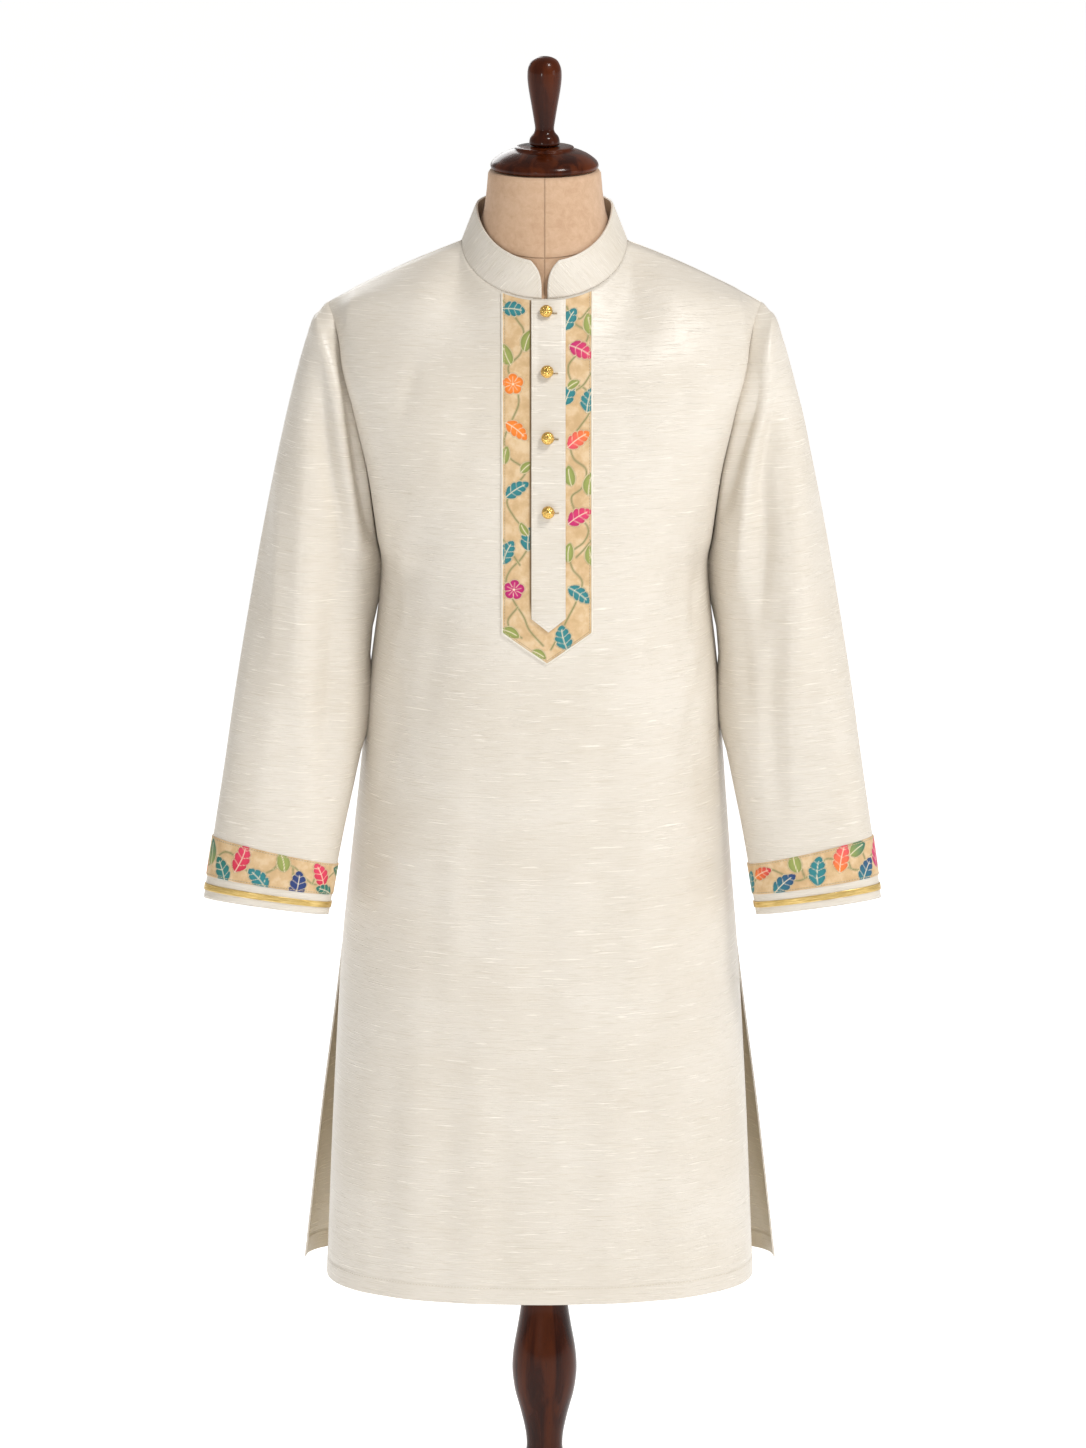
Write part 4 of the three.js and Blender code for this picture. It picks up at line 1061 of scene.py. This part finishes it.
# Border: x from its middle, and the height z for y.
BORDER_LEAVES = [
    (-34, 1389, -4, 24, 15, TEAL, TEAL, 4),
    (-20, 1360, 68, 22, 12, OLIVE, OLIVE, 1),
    (-42, 1346, 112, 20, 13, OLIVE, OLIVE, 1),
    (-35, 1318, 20, 22, 21, ORANGE, ORANGE, -5),
    (-31, 1272, -38, 28, 15, ORANGE, ORANGE, 4),
    (-43, 1247, 80, 18, 10, OLIVE, OLIVE, 1),
    (-21, 1235, 40, 16, 9, OLIVE, OLIVE, 1),
    (-31, 1212, 32, 28, 15, TEAL, TEAL, 4),
    (-19, 1161, 84, 25, 16, TEAL, TEAL, 3),
    (-24, 1171, 120, 15, 8, OLIVE, OLIVE, 1),
    (-41, 1147, 66, 27, 16, TEAL, TEAL, 4),
    (-34, 1108, 12, 22, 21, MAGENTA, MAGENTA, -5),
    (-37, 1063, -24, 19, 11, OLIVE, OLIVE, 1),
    (-8, 1041, -30, 16, 9, OLIVE, OLIVE, 1),
    (23, 1380, 60, 24, 15, TEAL, TEAL, 3),
    (44, 1374, 108, 22, 13, OLIVE, OLIVE, 1),
    (35, 1350, -26, 27, 16, MAGENTA, ROSE, 4),
    (22, 1308, 66, 23, 15, TEAL, TEAL, 3),
    (27, 1318, 30, 14, 8, OLIVE, OLIVE, 1),
    (43, 1302, 76, 25, 17, TEAL, TEAL, 4),
    (32, 1263, 34, 28, 16, ROSE, ORANGE, 4),
    (23, 1226, 98, 21, 12, OLIVE, OLIVE, 1),
    (44, 1218, 78, 24, 13, OLIVE, OLIVE, 1),
    (33, 1184, 30, 28, 17, MAGENTA, ROSE, 4),
    (22, 1147, 84, 20, 11, OLIVE, OLIVE, 1),
    (45, 1143, 104, 22, 12, OLIVE, OLIVE, 1),
    (33, 1103, -38, 28, 15, TEAL, TEAL, 4),
    (17, 1058, 104, 27, 18, TEAL, TEAL, 4),
]
BORDER_VINES = [
    [(-46, 1398), (-30, 1378), (-24, 1368), (-27, 1348), (-40, 1334), (-33, 1318), (-29, 1300), (-36, 1282),
     (-44, 1262), (-38, 1244), (-22, 1232), (-30, 1218), (-41, 1200), (-34, 1184), (-24, 1172)],
    [(-19, 1152), (-27, 1140), (-38, 1128), (-42, 1114), (-34, 1096), (-24, 1080), (-18, 1066), (-4, 1050)],
    [(-45, 1160), (-36, 1146), (-28, 1134)],
    [(-30, 1090), (-40, 1076), (-36, 1064), (-26, 1058)],
    [(20, 1392), (28, 1376), (42, 1366), (36, 1352), (22, 1336), (26, 1320), (40, 1312), (44, 1292), (34, 1276),
     (24, 1262), (27, 1244), (40, 1232), (36, 1214), (25, 1204), (30, 1188), (42, 1172), (38, 1158), (24, 1146),
     (26, 1130), (36, 1116), (30, 1096), (22, 1080), (14, 1064), (4, 1046)],
    [(44, 1390), (34, 1380), (26, 1384)],
    [(46, 1330), (38, 1318), (30, 1312)],
    [(46, 1160), (38, 1150), (30, 1142)],
]


# Cuffs: x round from the front's middle, outwards, and y up the band.
CUFF_LEAVES = {
    "right": [
        (-56, 24, 20, 20, 12, ORANGE, CRIMSON), (-33, 9, 35, 26, 14, TEAL, NAVY),
        (-18, 30, 95, 18, 11, OLIVE, OLIVE), (4, 17, 78, 26, 15, TEAL, TEAL), (31, 26, 68, 25, 14, ORANGE, ROSE),
        (50, 31, 20, 17, 11, OLIVE, GREEN), (57, 8, 55, 24, 14, TEAL, NAVY), (78, 22, 75, 24, 14, MAGENTA, ROSE),
        (101, 12, 30, 22, 13, TEAL, TEAL), (122, 26, 100, 19, 11, OLIVE, OLIVE),
        (143, 15, 60, 26, 14, ROSE, ORANGE), (165, 27, 15, 20, 12, GREEN, TEAL), (-78, 14, 70, 24, 14, TEAL, TEAL),
        (-99, 28, 30, 18, 11, OLIVE, GREEN), (-118, 13, 60, 25, 14, MAGENTA, ROSE),
        (-140, 25, 85, 22, 13, NAVY, TEAL), (-161, 10, 30, 22, 12, ORANGE, ROSE),
    ],
    "left": [
        (53, 9, 60, 24, 14, TEAL, GREEN), (33, 25, 105, 26, 14, CRIMSON, ROSE), (12, 7, 40, 24, 14, TEAL, TEAL),
        (-10, 30, 70, 18, 11, OLIVE, OLIVE), (-29, 8, 92, 25, 15, NAVY, NAVY),
        (-53, 22, 60, 25, 14, CRIMSON, ROSE), (-62, 4, 15, 20, 11, GREEN, GREEN),
        (72, 24, 80, 20, 11, OLIVE, GREEN), (91, 12, 50, 25, 14, ORANGE, ROSE), (113, 25, 100, 22, 13, TEAL, TEAL),
        (135, 11, 30, 24, 13, MAGENTA, ROSE), (157, 25, 75, 20, 12, OLIVE, OLIVE),
        (-82, 27, 25, 20, 11, OLIVE, GREEN), (-101, 11, 65, 25, 14, TEAL, NAVY),
        (-124, 25, 95, 24, 14, ORANGE, ROSE), (-146, 10, 35, 22, 12, TEAL, GREEN),
        (-165, 27, 70, 18, 11, OLIVE, OLIVE),
    ],
}
# The cuff's vine: height up the band, how far it sways for each side, and millimetres round for each radian.
VINE = {"middle": 19, "right": 9, "left": -9, "wave": 10.2}
# The cuffs' leaves are this much longer and wider than their rows say.
LONGER, WIDER = 1.22, 1.26


def cuff_leaves(side):
    """A cuff's leaves, its winding vine, and a twig from each leaf to the vine."""
    def on_vine(x):
        return x, VINE["middle"] + VINE[side] * math.sin(x / VINE["wave"])

    leaves = [(*place, length * LONGER, width * WIDER, colour, second, 1 if colour is OLIVE else 4)
              for *place, length, width, colour, second in CUFF_LEAVES[side]]
    winding = [on_vine(x) for x in np.arange(-185, 186, 12.5)]
    twigs = [[(x, y), (x + 5, mix(y, VINE["middle"], 0.4)), on_vine(x + 8)] for x, y, *_ in leaves]
    return leaves, [winding, *twigs]


# The placket.


def placket_grid(piece, columns, rows):
    """A pointed strip on the front: straight sides, a point at the bottom, its top cut to the neckline."""
    aside = np.linspace(-1, 1, columns)
    x = piece["x"] + piece["half"] * aside
    top = NECK["z"] - NECK["front_drop"] * np.sqrt(1 - (x / NECK["half"]) ** 2) - 2.5
    bottom = mix(piece["tip"], piece["corner"], np.abs(aside))
    share = np.linspace(0, 1, rows)[:, None]
    z = mix(bottom[None], top[None], share)
    flat_x = np.broadcast_to(x, z.shape)
    grid = on_front(flat_x.reshape(-1), z.reshape(-1)).reshape(rows, columns, 3)
    return grid, grid_normals(grid), flat_x - piece["x"], z


def placket_rows(outer, normals, inset):
    """Rows of stitches up both sides of a pointed strip and along its point."""
    rows = [row_of_stitches(outer[inset:, k], normals[inset:, k]) for k in (inset, -1 - inset)]
    return [*rows, row_of_stitches(outer[inset, inset:-inset], normals[inset, inset:-inset])]


def border_piece():
    """The printed border: a piped rim, a row of stitches inside it, and a painted shadow of the strip's free left
    edge.
    """
    grid, normals, x, z = placket_grid(BORDER, 137, 500)
    slope = (BORDER["corner"] - BORDER["tip"]) / BORDER["half"]
    above = (z - BORDER["tip"] - slope * np.abs(x)) / math.hypot(1, slope)
    reach = np.minimum(BORDER["half"] - np.abs(x), above)
    from_row = reach - 3.4
    lift = TRIM_TOP - 0.55 + 0.55 * bell(reach - 0.9, 0.7) - 0.3 * bell(from_row, 0.5) + 0.08 * np.sin(z / 9)
    outer = grid + normals * lift[..., None]
    ink = painted(x, z, BORDER_VINES, BORDER_LEAVES)
    lay(ink, soft(0.3 - np.abs(from_row)) * 0.5, (0.50, 0.33, 0.15))
    lay(ink, soft(1.7 - reach, 0.4), (0.83, 0.78, 0.68))
    # Painted shadow: a dark brown line on the border just left of the strip, where the strip's free edge stands.
    strip_shadow_distance = np.abs(x - (STRIP["x"] - BORDER["x"]) + STRIP["half"] + 0.9)
    lay(ink, soft(0.8 - strip_shadow_distance, 0.6) * ease(1080, 1100, z) * 0.85, (0.20, 0.115, 0.05))
    piece = skin("border_print", outer, normals, 1.25, printed, ink=ink)
    show_for(piece, "placket_border")
    rows = placket_rows(outer, normals, 5)
    return piece, stitches("border_stitches", rows, PRINT_STITCH, thread)


def strip_piece():
    """The plain strip: a soft crown, and a left edge that stands a little free, in waves, above its point."""
    grid, normals, x, z = placket_grid(STRIP, 41, 330)
    rim = STRIP["half"] - np.abs(x)
    crown = 0.3 * ease(0, 3, rim) - 0.25 * bell(rim - 2.6, 0.6) + 0.12 * np.sin(z / 17) * ease(0, 8, rim)
    free = 0.9 * bell(x + STRIP["half"], 4) * ease(1075, 1110, z) * (1 + 0.35 * np.sin(z / 23))
    outer = grid + normals * (STRIP_TOP - 0.35 + crown + free)[..., None]
    piece = shell("button_strip", outer, normals, 1.0, [silk], cloth=np.stack([x, z], -1) / 1000)
    show_for(piece, "placket_strip")
    return piece, stitches("strip_stitches", placket_rows(outer, normals, 3), SILK_STITCH, thread)


border_cloth, border_stitches = border_piece()
strip_cloth, strip_stitches = strip_piece()


# The collar.


def collar_base(angle):
    """The collar's foot on the neckline, at angles from the middle of the front."""
    is_front = np.cos(angle) > 0
    aside = np.abs(angle)
    across = np.where(aside > math.pi / 2, math.pi - aside, aside) / (math.pi / 2)
    place = np.sign(angle) * across * NECK["share"]
    return np.where(is_front[:, None], top_edge(place, True), top_edge(place, False))


def collar_top(angle, base):
    fore = np.cos(angle)
    height = mix(COLLAR["side"], np.where(fore > 0, COLLAR["front"], COLLAR["back"]), np.abs(fore))
    depth = np.where(fore > 0, COLLAR["top_front"] + NECK["y"], COLLAR["top_back"] - NECK["y"])
    return np.stack([COLLAR["half"] * np.sin(angle), NECK["y"] - depth * fore, base[:, 2] + height], -1)


def collar_row(rise, columns):
    """The band's line at a share of its height, its ends drawn back near the top to round the corners."""
    gap = COLLAR["gap"] + COLLAR["corner"] * rise**4
    start = math.asin(gap / mix(NECK["half"], COLLAR["half"], rise)) / (2 * math.pi)
    along = np.linspace(start, 1 - start, columns)
    angle = 2 * math.pi * np.where(along > 0.5, along - 1, along)
    angle = np.where(np.abs(along - 0.5) < 1e-9, math.pi, angle)
    base = collar_base(angle)
    return mix(base, collar_top(angle, base), rise)


def collar_piece():
    rises = 1 - (1 - np.linspace(0, 1, 26)) ** 1.3
    grid = np.stack([collar_row(rise, 260) for rise in rises])
    normals = grid_normals(grid)
    normals = normals * -np.sign(normals[0, 0, 1])
    reach = cloth_map(grid) * 1000
    edge = np.minimum(from_ends(reach), np.abs(reach[-1:, :, 1] - reach[..., 1]))
    sunk = 0.3 * bell(edge - 3.2, 0.9) + 0.45 * (1 - ease(0, 1.1, edge)) + 0.2 * bell(reach[..., 1], 2)
    outer = grid - normals * sunk[..., None]
    cloth = reach[..., ::-1] / 1000
    piece = shell("collar_cloth", outer, normals, COLLAR_WALL - 1.6 * sunk, [silk], cloth=cloth)
    show_for(piece, "collar_band")
    middle = reach[:, reach.shape[1] // 2, 1]
    row = np.argmin(np.abs(middle[-1] - middle - 3.6))
    rows = [row_of_stitches(outer[row, 2:-2], normals[row, 2:-2])]
    rows += [row_of_stitches(outer[1 : row + 1, k], normals[1 : row + 1, k]) for k in (2, -3)]
    return piece, stitches("collar_stitches", rows, SILK_STITCH, thread)


collar_cloth, collar_stitches = collar_piece()


# Cuff trims.


def cuff_grid(side, distances, columns=480):
    """Rings of a cuff with many more points round than the sleeve has, at even shares."""
    grid, _ = sleeve_grid(side, distances)
    knots = np.append(shares, 1)
    closed = np.concatenate([grid, grid[:, :1]], 1)
    wrapped = np.concatenate([closed[:, -4:-1], closed, closed[:, 1:4]], 1).swapaxes(0, 1)
    knots = np.concatenate([knots[-4:-1] - 1, knots, knots[1:4] + 1])
    fine = np.linspace(0, 1, columns, endpoint=False)
    grid = monotone(knots, wrapped, fine).swapaxes(0, 1)
    return grid, -grid_normals(grid, True)


def cuff_piece(side):
    """A cuff's printed band, stitched along both its edges."""
    width = CUFF_PRINT[0] - CUFF_PRINT[1]
    count = int(width / 0.75)
    grid, normals = cuff_grid(side, SLEEVE_LENGTH - np.linspace(*CUFF_PRINT, count))
    reach = np.concatenate([[0], np.linalg.norm(np.diff(grid[0], axis=0), axis=1).cumsum()])
    total = reach[-1] + np.linalg.norm(grid[0, 0] - grid[0, -1])
    x = (reach - reach[len(reach) // 4] + total / 2) % total - total / 2
    x, y = np.broadcast_arrays(x[None], np.linspace(width, 0, count)[:, None])
    leaves, vines = cuff_leaves(side)
    ink = painted(x, y, vines, leaves)
    edge = np.minimum(y, width - y)
    lay(ink, soft(0.3 - np.abs(edge - 1.4), 0.4) * 0.6, (0.48, 0.31, 0.13))
    lift = TRIM_TOP - 0.6 - 0.4 * (1 - ease(0, 1.2, edge))
    outer, normals = on_side(side, grid + normals * lift[..., None], normals)
    piece = skin("cuff_band_" + side, outer, normals, 1.0, printed, True, ink)
    show_for(piece, "cuff_print_" + side)
    rings = [[np.concatenate([part[k], part[k, :1]]) for part in (outer, normals)] for k in (2, -3)]
    rows = [row_of_stitches(*ring) for ring in rings]
    return piece, stitches("cuff_stitches_" + side, rows, PRINT_STITCH, thread)


def ribbon_piece(side, rings=10):
    """A cuff's gold ribbon, a little higher along its middle."""
    grid, normals = sleeve_grid(side, SLEEVE_LENGTH - np.linspace(*CUFF_GOLD, rings))
    lift = TRIM_TOP - 0.7 + 0.15 * (1 - np.linspace(-1, 1, rings) ** 4)
    outer, normals = on_side(side, grid + normals * lift[:, None, None], normals)
    piece = skin("cuff_ribbon_" + side, outer, normals, 0.95, ribbon, True)
    return show_for(piece, "cuff_gold_" + side)


# Each cuff's printed band and gold ribbon.
for side in ("right", "left"):
    band, band_stitches = cuff_piece(side)
    ribbon_piece(side)


# The buttons.

# Radius and height of a button from its shank up.
BUTTON_PROFILE = np.array([
    [0, 0], [2.2, 0], [2.2, 1.3], [4.2, 1.7], [6.0, 2.5], [6.6, 3.5], [6.7, 4.5], [6.3, 5.6], [5.4, 6.7],
    [4.2, 7.6], [3.4, 7.9], [3.1, 7.7], [2.6, 8.1], [1.6, 8.5], [0.6, 8.6], [0, 8.65],
])


def button_piece(number, place, sides=64, cuts=10):
    """A domed shank button with a ring of shallow cuts, standing square on the strip."""
    x, z = place
    spots = on_front(np.array([x, x - 4, x + 4, x, x], float), np.array([z, z, z, z - 20, z + 20], float))
    normal = unit(np.cross(spots[2] - spots[1], spots[4] - spots[3]))
    side = unit(np.cross([0, 0, 1.0], normal))
    seat = spots[0] + normal * (STRIP_TOP + 0.1)
    radius, height = BUTTON_PROFILE[1:-1, :1], BUTTON_PROFILE[:, 1]
    angle = np.arange(sides) / sides * 2 * math.pi
    radius = radius * (1 - 0.05 * np.abs(np.sin(cuts / 2 * angle)) * bell(height[1:-1, None] - 6, 1.6))
    base = (seat, side, np.cross(normal, side), normal)
    show_for(lathed(f"button_ball_{number}", radius, height, base, brass), f"button_{number}")


for number, place in enumerate(BUTTON_PLACES, 1):
    button_piece(number, place)


def buttonhole_piece(places=24):
    """The end of each buttonhole beside its button: a bar of close upright stitches round a slit of brown
    thread."""
    bars, slits = [], []
    for x, z in BUTTON_PLACES:
        for rise, rows, pitch in ((0.9, bars, 0.55), (-0.9, bars, 0.55), (0, slits, 2.2)):
            at = np.linspace(x + 6.2, x + 11.4, places)
            spots = on_front(at, np.full(places, z - 1.0 + rise))
            above = on_front(at[:1], np.array([z + 9.0]))[0]
            way = unit(np.cross([1.0, 0, 0], above - spots[0]))
            ways = np.broadcast_to(way * -np.sign(way[1]), (places, 3))
            centre, along, up = row_of_stitches(spots + ways * (STRIP_TOP + 0.05), ways, pitch)
            rows.append([centre, along if rows is slits else np.cross(up, along), up])
    stitches("buttonhole_edges", bars, (1.5, 0.5, 0.28), thread)
    stitches("buttonhole_slits", slits, (2.9, 0.9, 0.3), brown_thread)


buttonhole_piece()


# The dress form: its body stays inside the cloth, and its neck rises out of the collar.


def column_angle(points):
    """How far round the neck's column each point lies, from the front."""
    return np.arctan2(points[..., 0], -(points[..., 1] - NECK_COLUMN["y"]))


def column_ring(angle, radius, z):
    y = NECK_COLUMN["y"] - NECK_COLUMN["deep"] * radius * np.cos(angle)
    return np.stack([radius * np.sin(angle), y, z + 0 * angle], -1)


def neck_ring(loop, ring):
    """The neckline drawn in towards a round column."""
    share, front_z, side_z = ring
    angle = column_angle(loop)
    z = mix(side_z, front_z, np.maximum(np.cos(angle), 0))
    taper = np.clip((z - NECK_COLUMN["low_z"]) / (NECK_COLUMN["high_z"] - NECK_COLUMN["low_z"]), -0.3, 1)
    column = column_ring(angle, mix(NECK_COLUMN["low"], NECK_COLUMN["high"], taper), z)
    return mix(np.stack([loop[:, 0], loop[:, 1], z], -1), column, share)


def form_side(is_front, across, station):
    """One half of the form's body: the panel moved in by the wall and the margin."""
    grid = panel(across, station, is_front)
    normals = grid_normals(grid) * (1 if is_front else -1)
    normals[-1, np.abs(across) >= NECK["share"] - 1e-6, 1] = 0
    inside = monotone(FORM_MARGIN[:, 0], FORM_MARGIN[:, 1], station)
    grid = grid - unit(normals) * (2 + inside)[:, None, None]
    for edge in (0, -1):
        grid[:, edge, 0] -= np.sign(grid[:, edge, 0]) * 6
    return grid


def form_piece():
    """The form's body, closed below, and its neck, closed above, with a seam drawn in before and behind."""
    neck_across = np.linspace(-NECK["share"], NECK["share"], 49)
    wing = np.linspace(-1, -NECK["share"], 22)[:-1]
    across = np.concatenate([wing, neck_across, -wing[::-1]])
    station = np.linspace(FORM_BOTTOM, TOP, 70)
    fore = form_side(True, across, station)
    aft = form_side(False, across, station)
    seam = np.abs(across) >= NECK["share"] - 1e-6
    aft[-1, seam] = fore[-1, seam]
    body = np.concatenate([fore, aft[:, ::-1]], 1)
    body[0, :, 2] = FORM_BOTTOM
    is_neck = np.abs(across) <= NECK["share"] + 1e-6
    loop = np.concatenate([fore[-1, is_neck], aft[-1, is_neck][::-1][1:-1]])
    key_rings = np.stack([loop, *[neck_ring(loop, ring) for ring in NECK_RINGS]])
    stations = np.arange(len(key_rings))
    column = monotone(stations, key_rings, np.linspace(0, stations[-1], 56))
    angle = column_angle(column)
    away = np.stack([np.sin(angle), -np.cos(angle), 0 * angle], -1)
    from_front, from_back = (np.abs(turn) * NECK_COLUMN["low"] for turn in (angle, math.pi - np.abs(angle)))
    column = column - away * 0.3 * (bell(from_front, NECK_SEAM) + bell(from_back, NECK_SEAM))[..., None]
    column = np.concatenate([column, column_ring(angle[-1], NECK_COLUMN["rim"], NECK_COLUMN["top"])[None]])
    middles = [[0, 0, FORM_BOTTOM], [0, NECK_COLUMN["y"], NECK_COLUMN["top"]]]
    points = np.concatenate([body.reshape(-1, 3), column.reshape(-1, 3), middles])
    in_body = body.shape[0] * body.shape[1]
    faces = np.concatenate([cells(*body.shape[:2], True), cells(*column.shape[:2], True, in_body)]).tolist()
    count = len(points) - 2
    faces += fan(count, np.arange(body.shape[1])[::-1]) + fan(count + 1, np.arange(count - column.shape[1], count))
    piece = add_mesh("form_cloth_cover", points, faces, [cover])
    weld(piece.data)
    show_for(piece, "form_body")


def weld(mesh):
    """Merges points that lie on each other, drops the faces that have shrunk to nothing and turns the rest out."""
    work = bmesh.new()
    work.from_mesh(mesh)
    bmesh.ops.remove_doubles(work, verts=work.verts, dist=2e-5)
    bmesh.ops.dissolve_degenerate(work, edges=work.edges, dist=1e-6)
    bmesh.ops.recalc_face_normals(work, faces=work.faces)
    work.to_mesh(mesh)
    work.free()


form_piece()


# The turned wood: radius and height from the bottom up.

UPRIGHT = np.array([[0, 0, 0], [1, 0, 0], [0, 1, 0], [0, 0, 1.0]])
CAP_PROFILE = [
    [0, 1522.3], [53, 1522.3], [55.8, 1525], [56.2, 1528], [54, 1532], [46, 1538], [37, 1542], [30.5, 1543.6],
    [30.5, 1547.2], [0, 1547.2],
]
FINIAL_PROFILE = [
    [0, 1547.5], [15.6, 1547.5], [16, 1552], [14.6, 1557], [10.8, 1561], [9.6, 1565], [11, 1574], [13.5, 1589],
    [16.4, 1605], [17.9, 1617], [17.6, 1628], [13.8, 1636.5], [7, 1640], [0, 1640.8],
]
POST_PROFILE = [
    [0, 32.3], [30, 32.3], [31, 40], [24, 50], [19, 66], [17.5, 96], [19, 124], [24, 132], [26, 141], [24, 150],
    [18.5, 158], [19.5, 176], [25, 200], [31.5, 222], [34.4, 245], [33, 266], [28, 293], [24.6, 314], [22.5, 345],
    [22, 420], [22, FORM_BOTTOM - 0.3], [0, FORM_BOTTOM - 0.3],
]
BASE_PROFILE = [
    [0, 0], [177, 0], [180, 3], [180, 13], [175, 18], [166, 20], [160, 24], [110, 27], [58, 29.5], [46, 32],
    [0, 32],
]

for name, node, profile, sides in [
    ("cap_turned", "neck_cap", CAP_PROFILE, 96),
    ("knob_turned", "finial", FINIAL_PROFILE, 72),
    ("post_turned", "post", POST_PROFILE, 72),
    ("foot_turned", "stand_base", BASE_PROFILE, 144),
]:
    radius, height = rounded(profile).T
    piece = lathed(name, np.tile(radius[1:-1, None], sides), height, UPRIGHT, wood)
    show_for(piece, node)


# Floor, light and camera.


def add_floor(reach=60):
    finish = Finish("studio_floor", Roughness=0.9, Emission_Strength=0.62, Base_Color=(0.94, 0.94, 0.94, 1),
                    Emission_Color=(1, 1, 1, 1))
    mesh = bpy.data.meshes.new("studio_floor")
    corners = [(-reach, -reach, 0), (reach, -reach, 0), (reach, reach, 0), (-reach, reach, 0)]
    mesh.from_pydata(corners, [], [(0, 1, 2, 3)])
    mesh.materials.append(finish.material)
    add_object("studio_floor", mesh)


def add_light(name, place, aim, size, power, colour):
    light = bpy.data.lights.new(name, "AREA")
    light.size = size
    light.energy = power
    light.color = colour
    lamp = add_object(name, light)
    x, y, z = np.subtract(place, aim)
    lamp.location = place
    lamp.rotation_euler = (math.atan2(math.hypot(x, y), z), 0, math.atan2(x, -y))


def add_camera():
    data = bpy.data.cameras.new("camera")
    data.sensor_fit = "VERTICAL"
    data.sensor_height = 24
    data.lens = data.sensor_height * DISTANCE * 1000 / (IMAGE_HEIGHT * MM_PER_PIXEL)
    data.clip_end = 200
    camera = add_object("camera", data)
    x, y, z = TARGET
    camera.location = (x, y - DISTANCE * math.cos(ELEVATION), z + DISTANCE * math.sin(ELEVATION))
    camera.rotation_euler = (math.pi / 2 - ELEVATION, 0, 0)
    bpy.context.scene.camera = camera


add_floor()
add_light("key", (2.0, -2.0, 4.6), (0, 0, 1.0), 1.0, 108, (1.0, 0.99, 0.975))
add_light("side", (4.0, -1.8, 1.9), (0, 0, 0.9), 1.3, 14, (1.0, 0.99, 0.98))
add_light("fill", (-1.6, -4.6, 1.5), (0, 0, 0.9), 0.6, 19, (1.0, 0.985, 0.96))
add_light("back", (-1.2, 4.2, 2.6), (0, 0, 1.0), 2.0, 45, (1, 1, 1))
add_camera()
world = bpy.data.worlds.new("studio")
world.use_nodes = True
sky = world.node_tree.nodes["Background"].inputs
sky["Color"].default_value = (1, 0.985, 0.965, 1)
sky["Strength"].default_value = 0.40
bpy.context.scene.world = world
bpy.context.scene.view_settings.view_transform = "Standard"
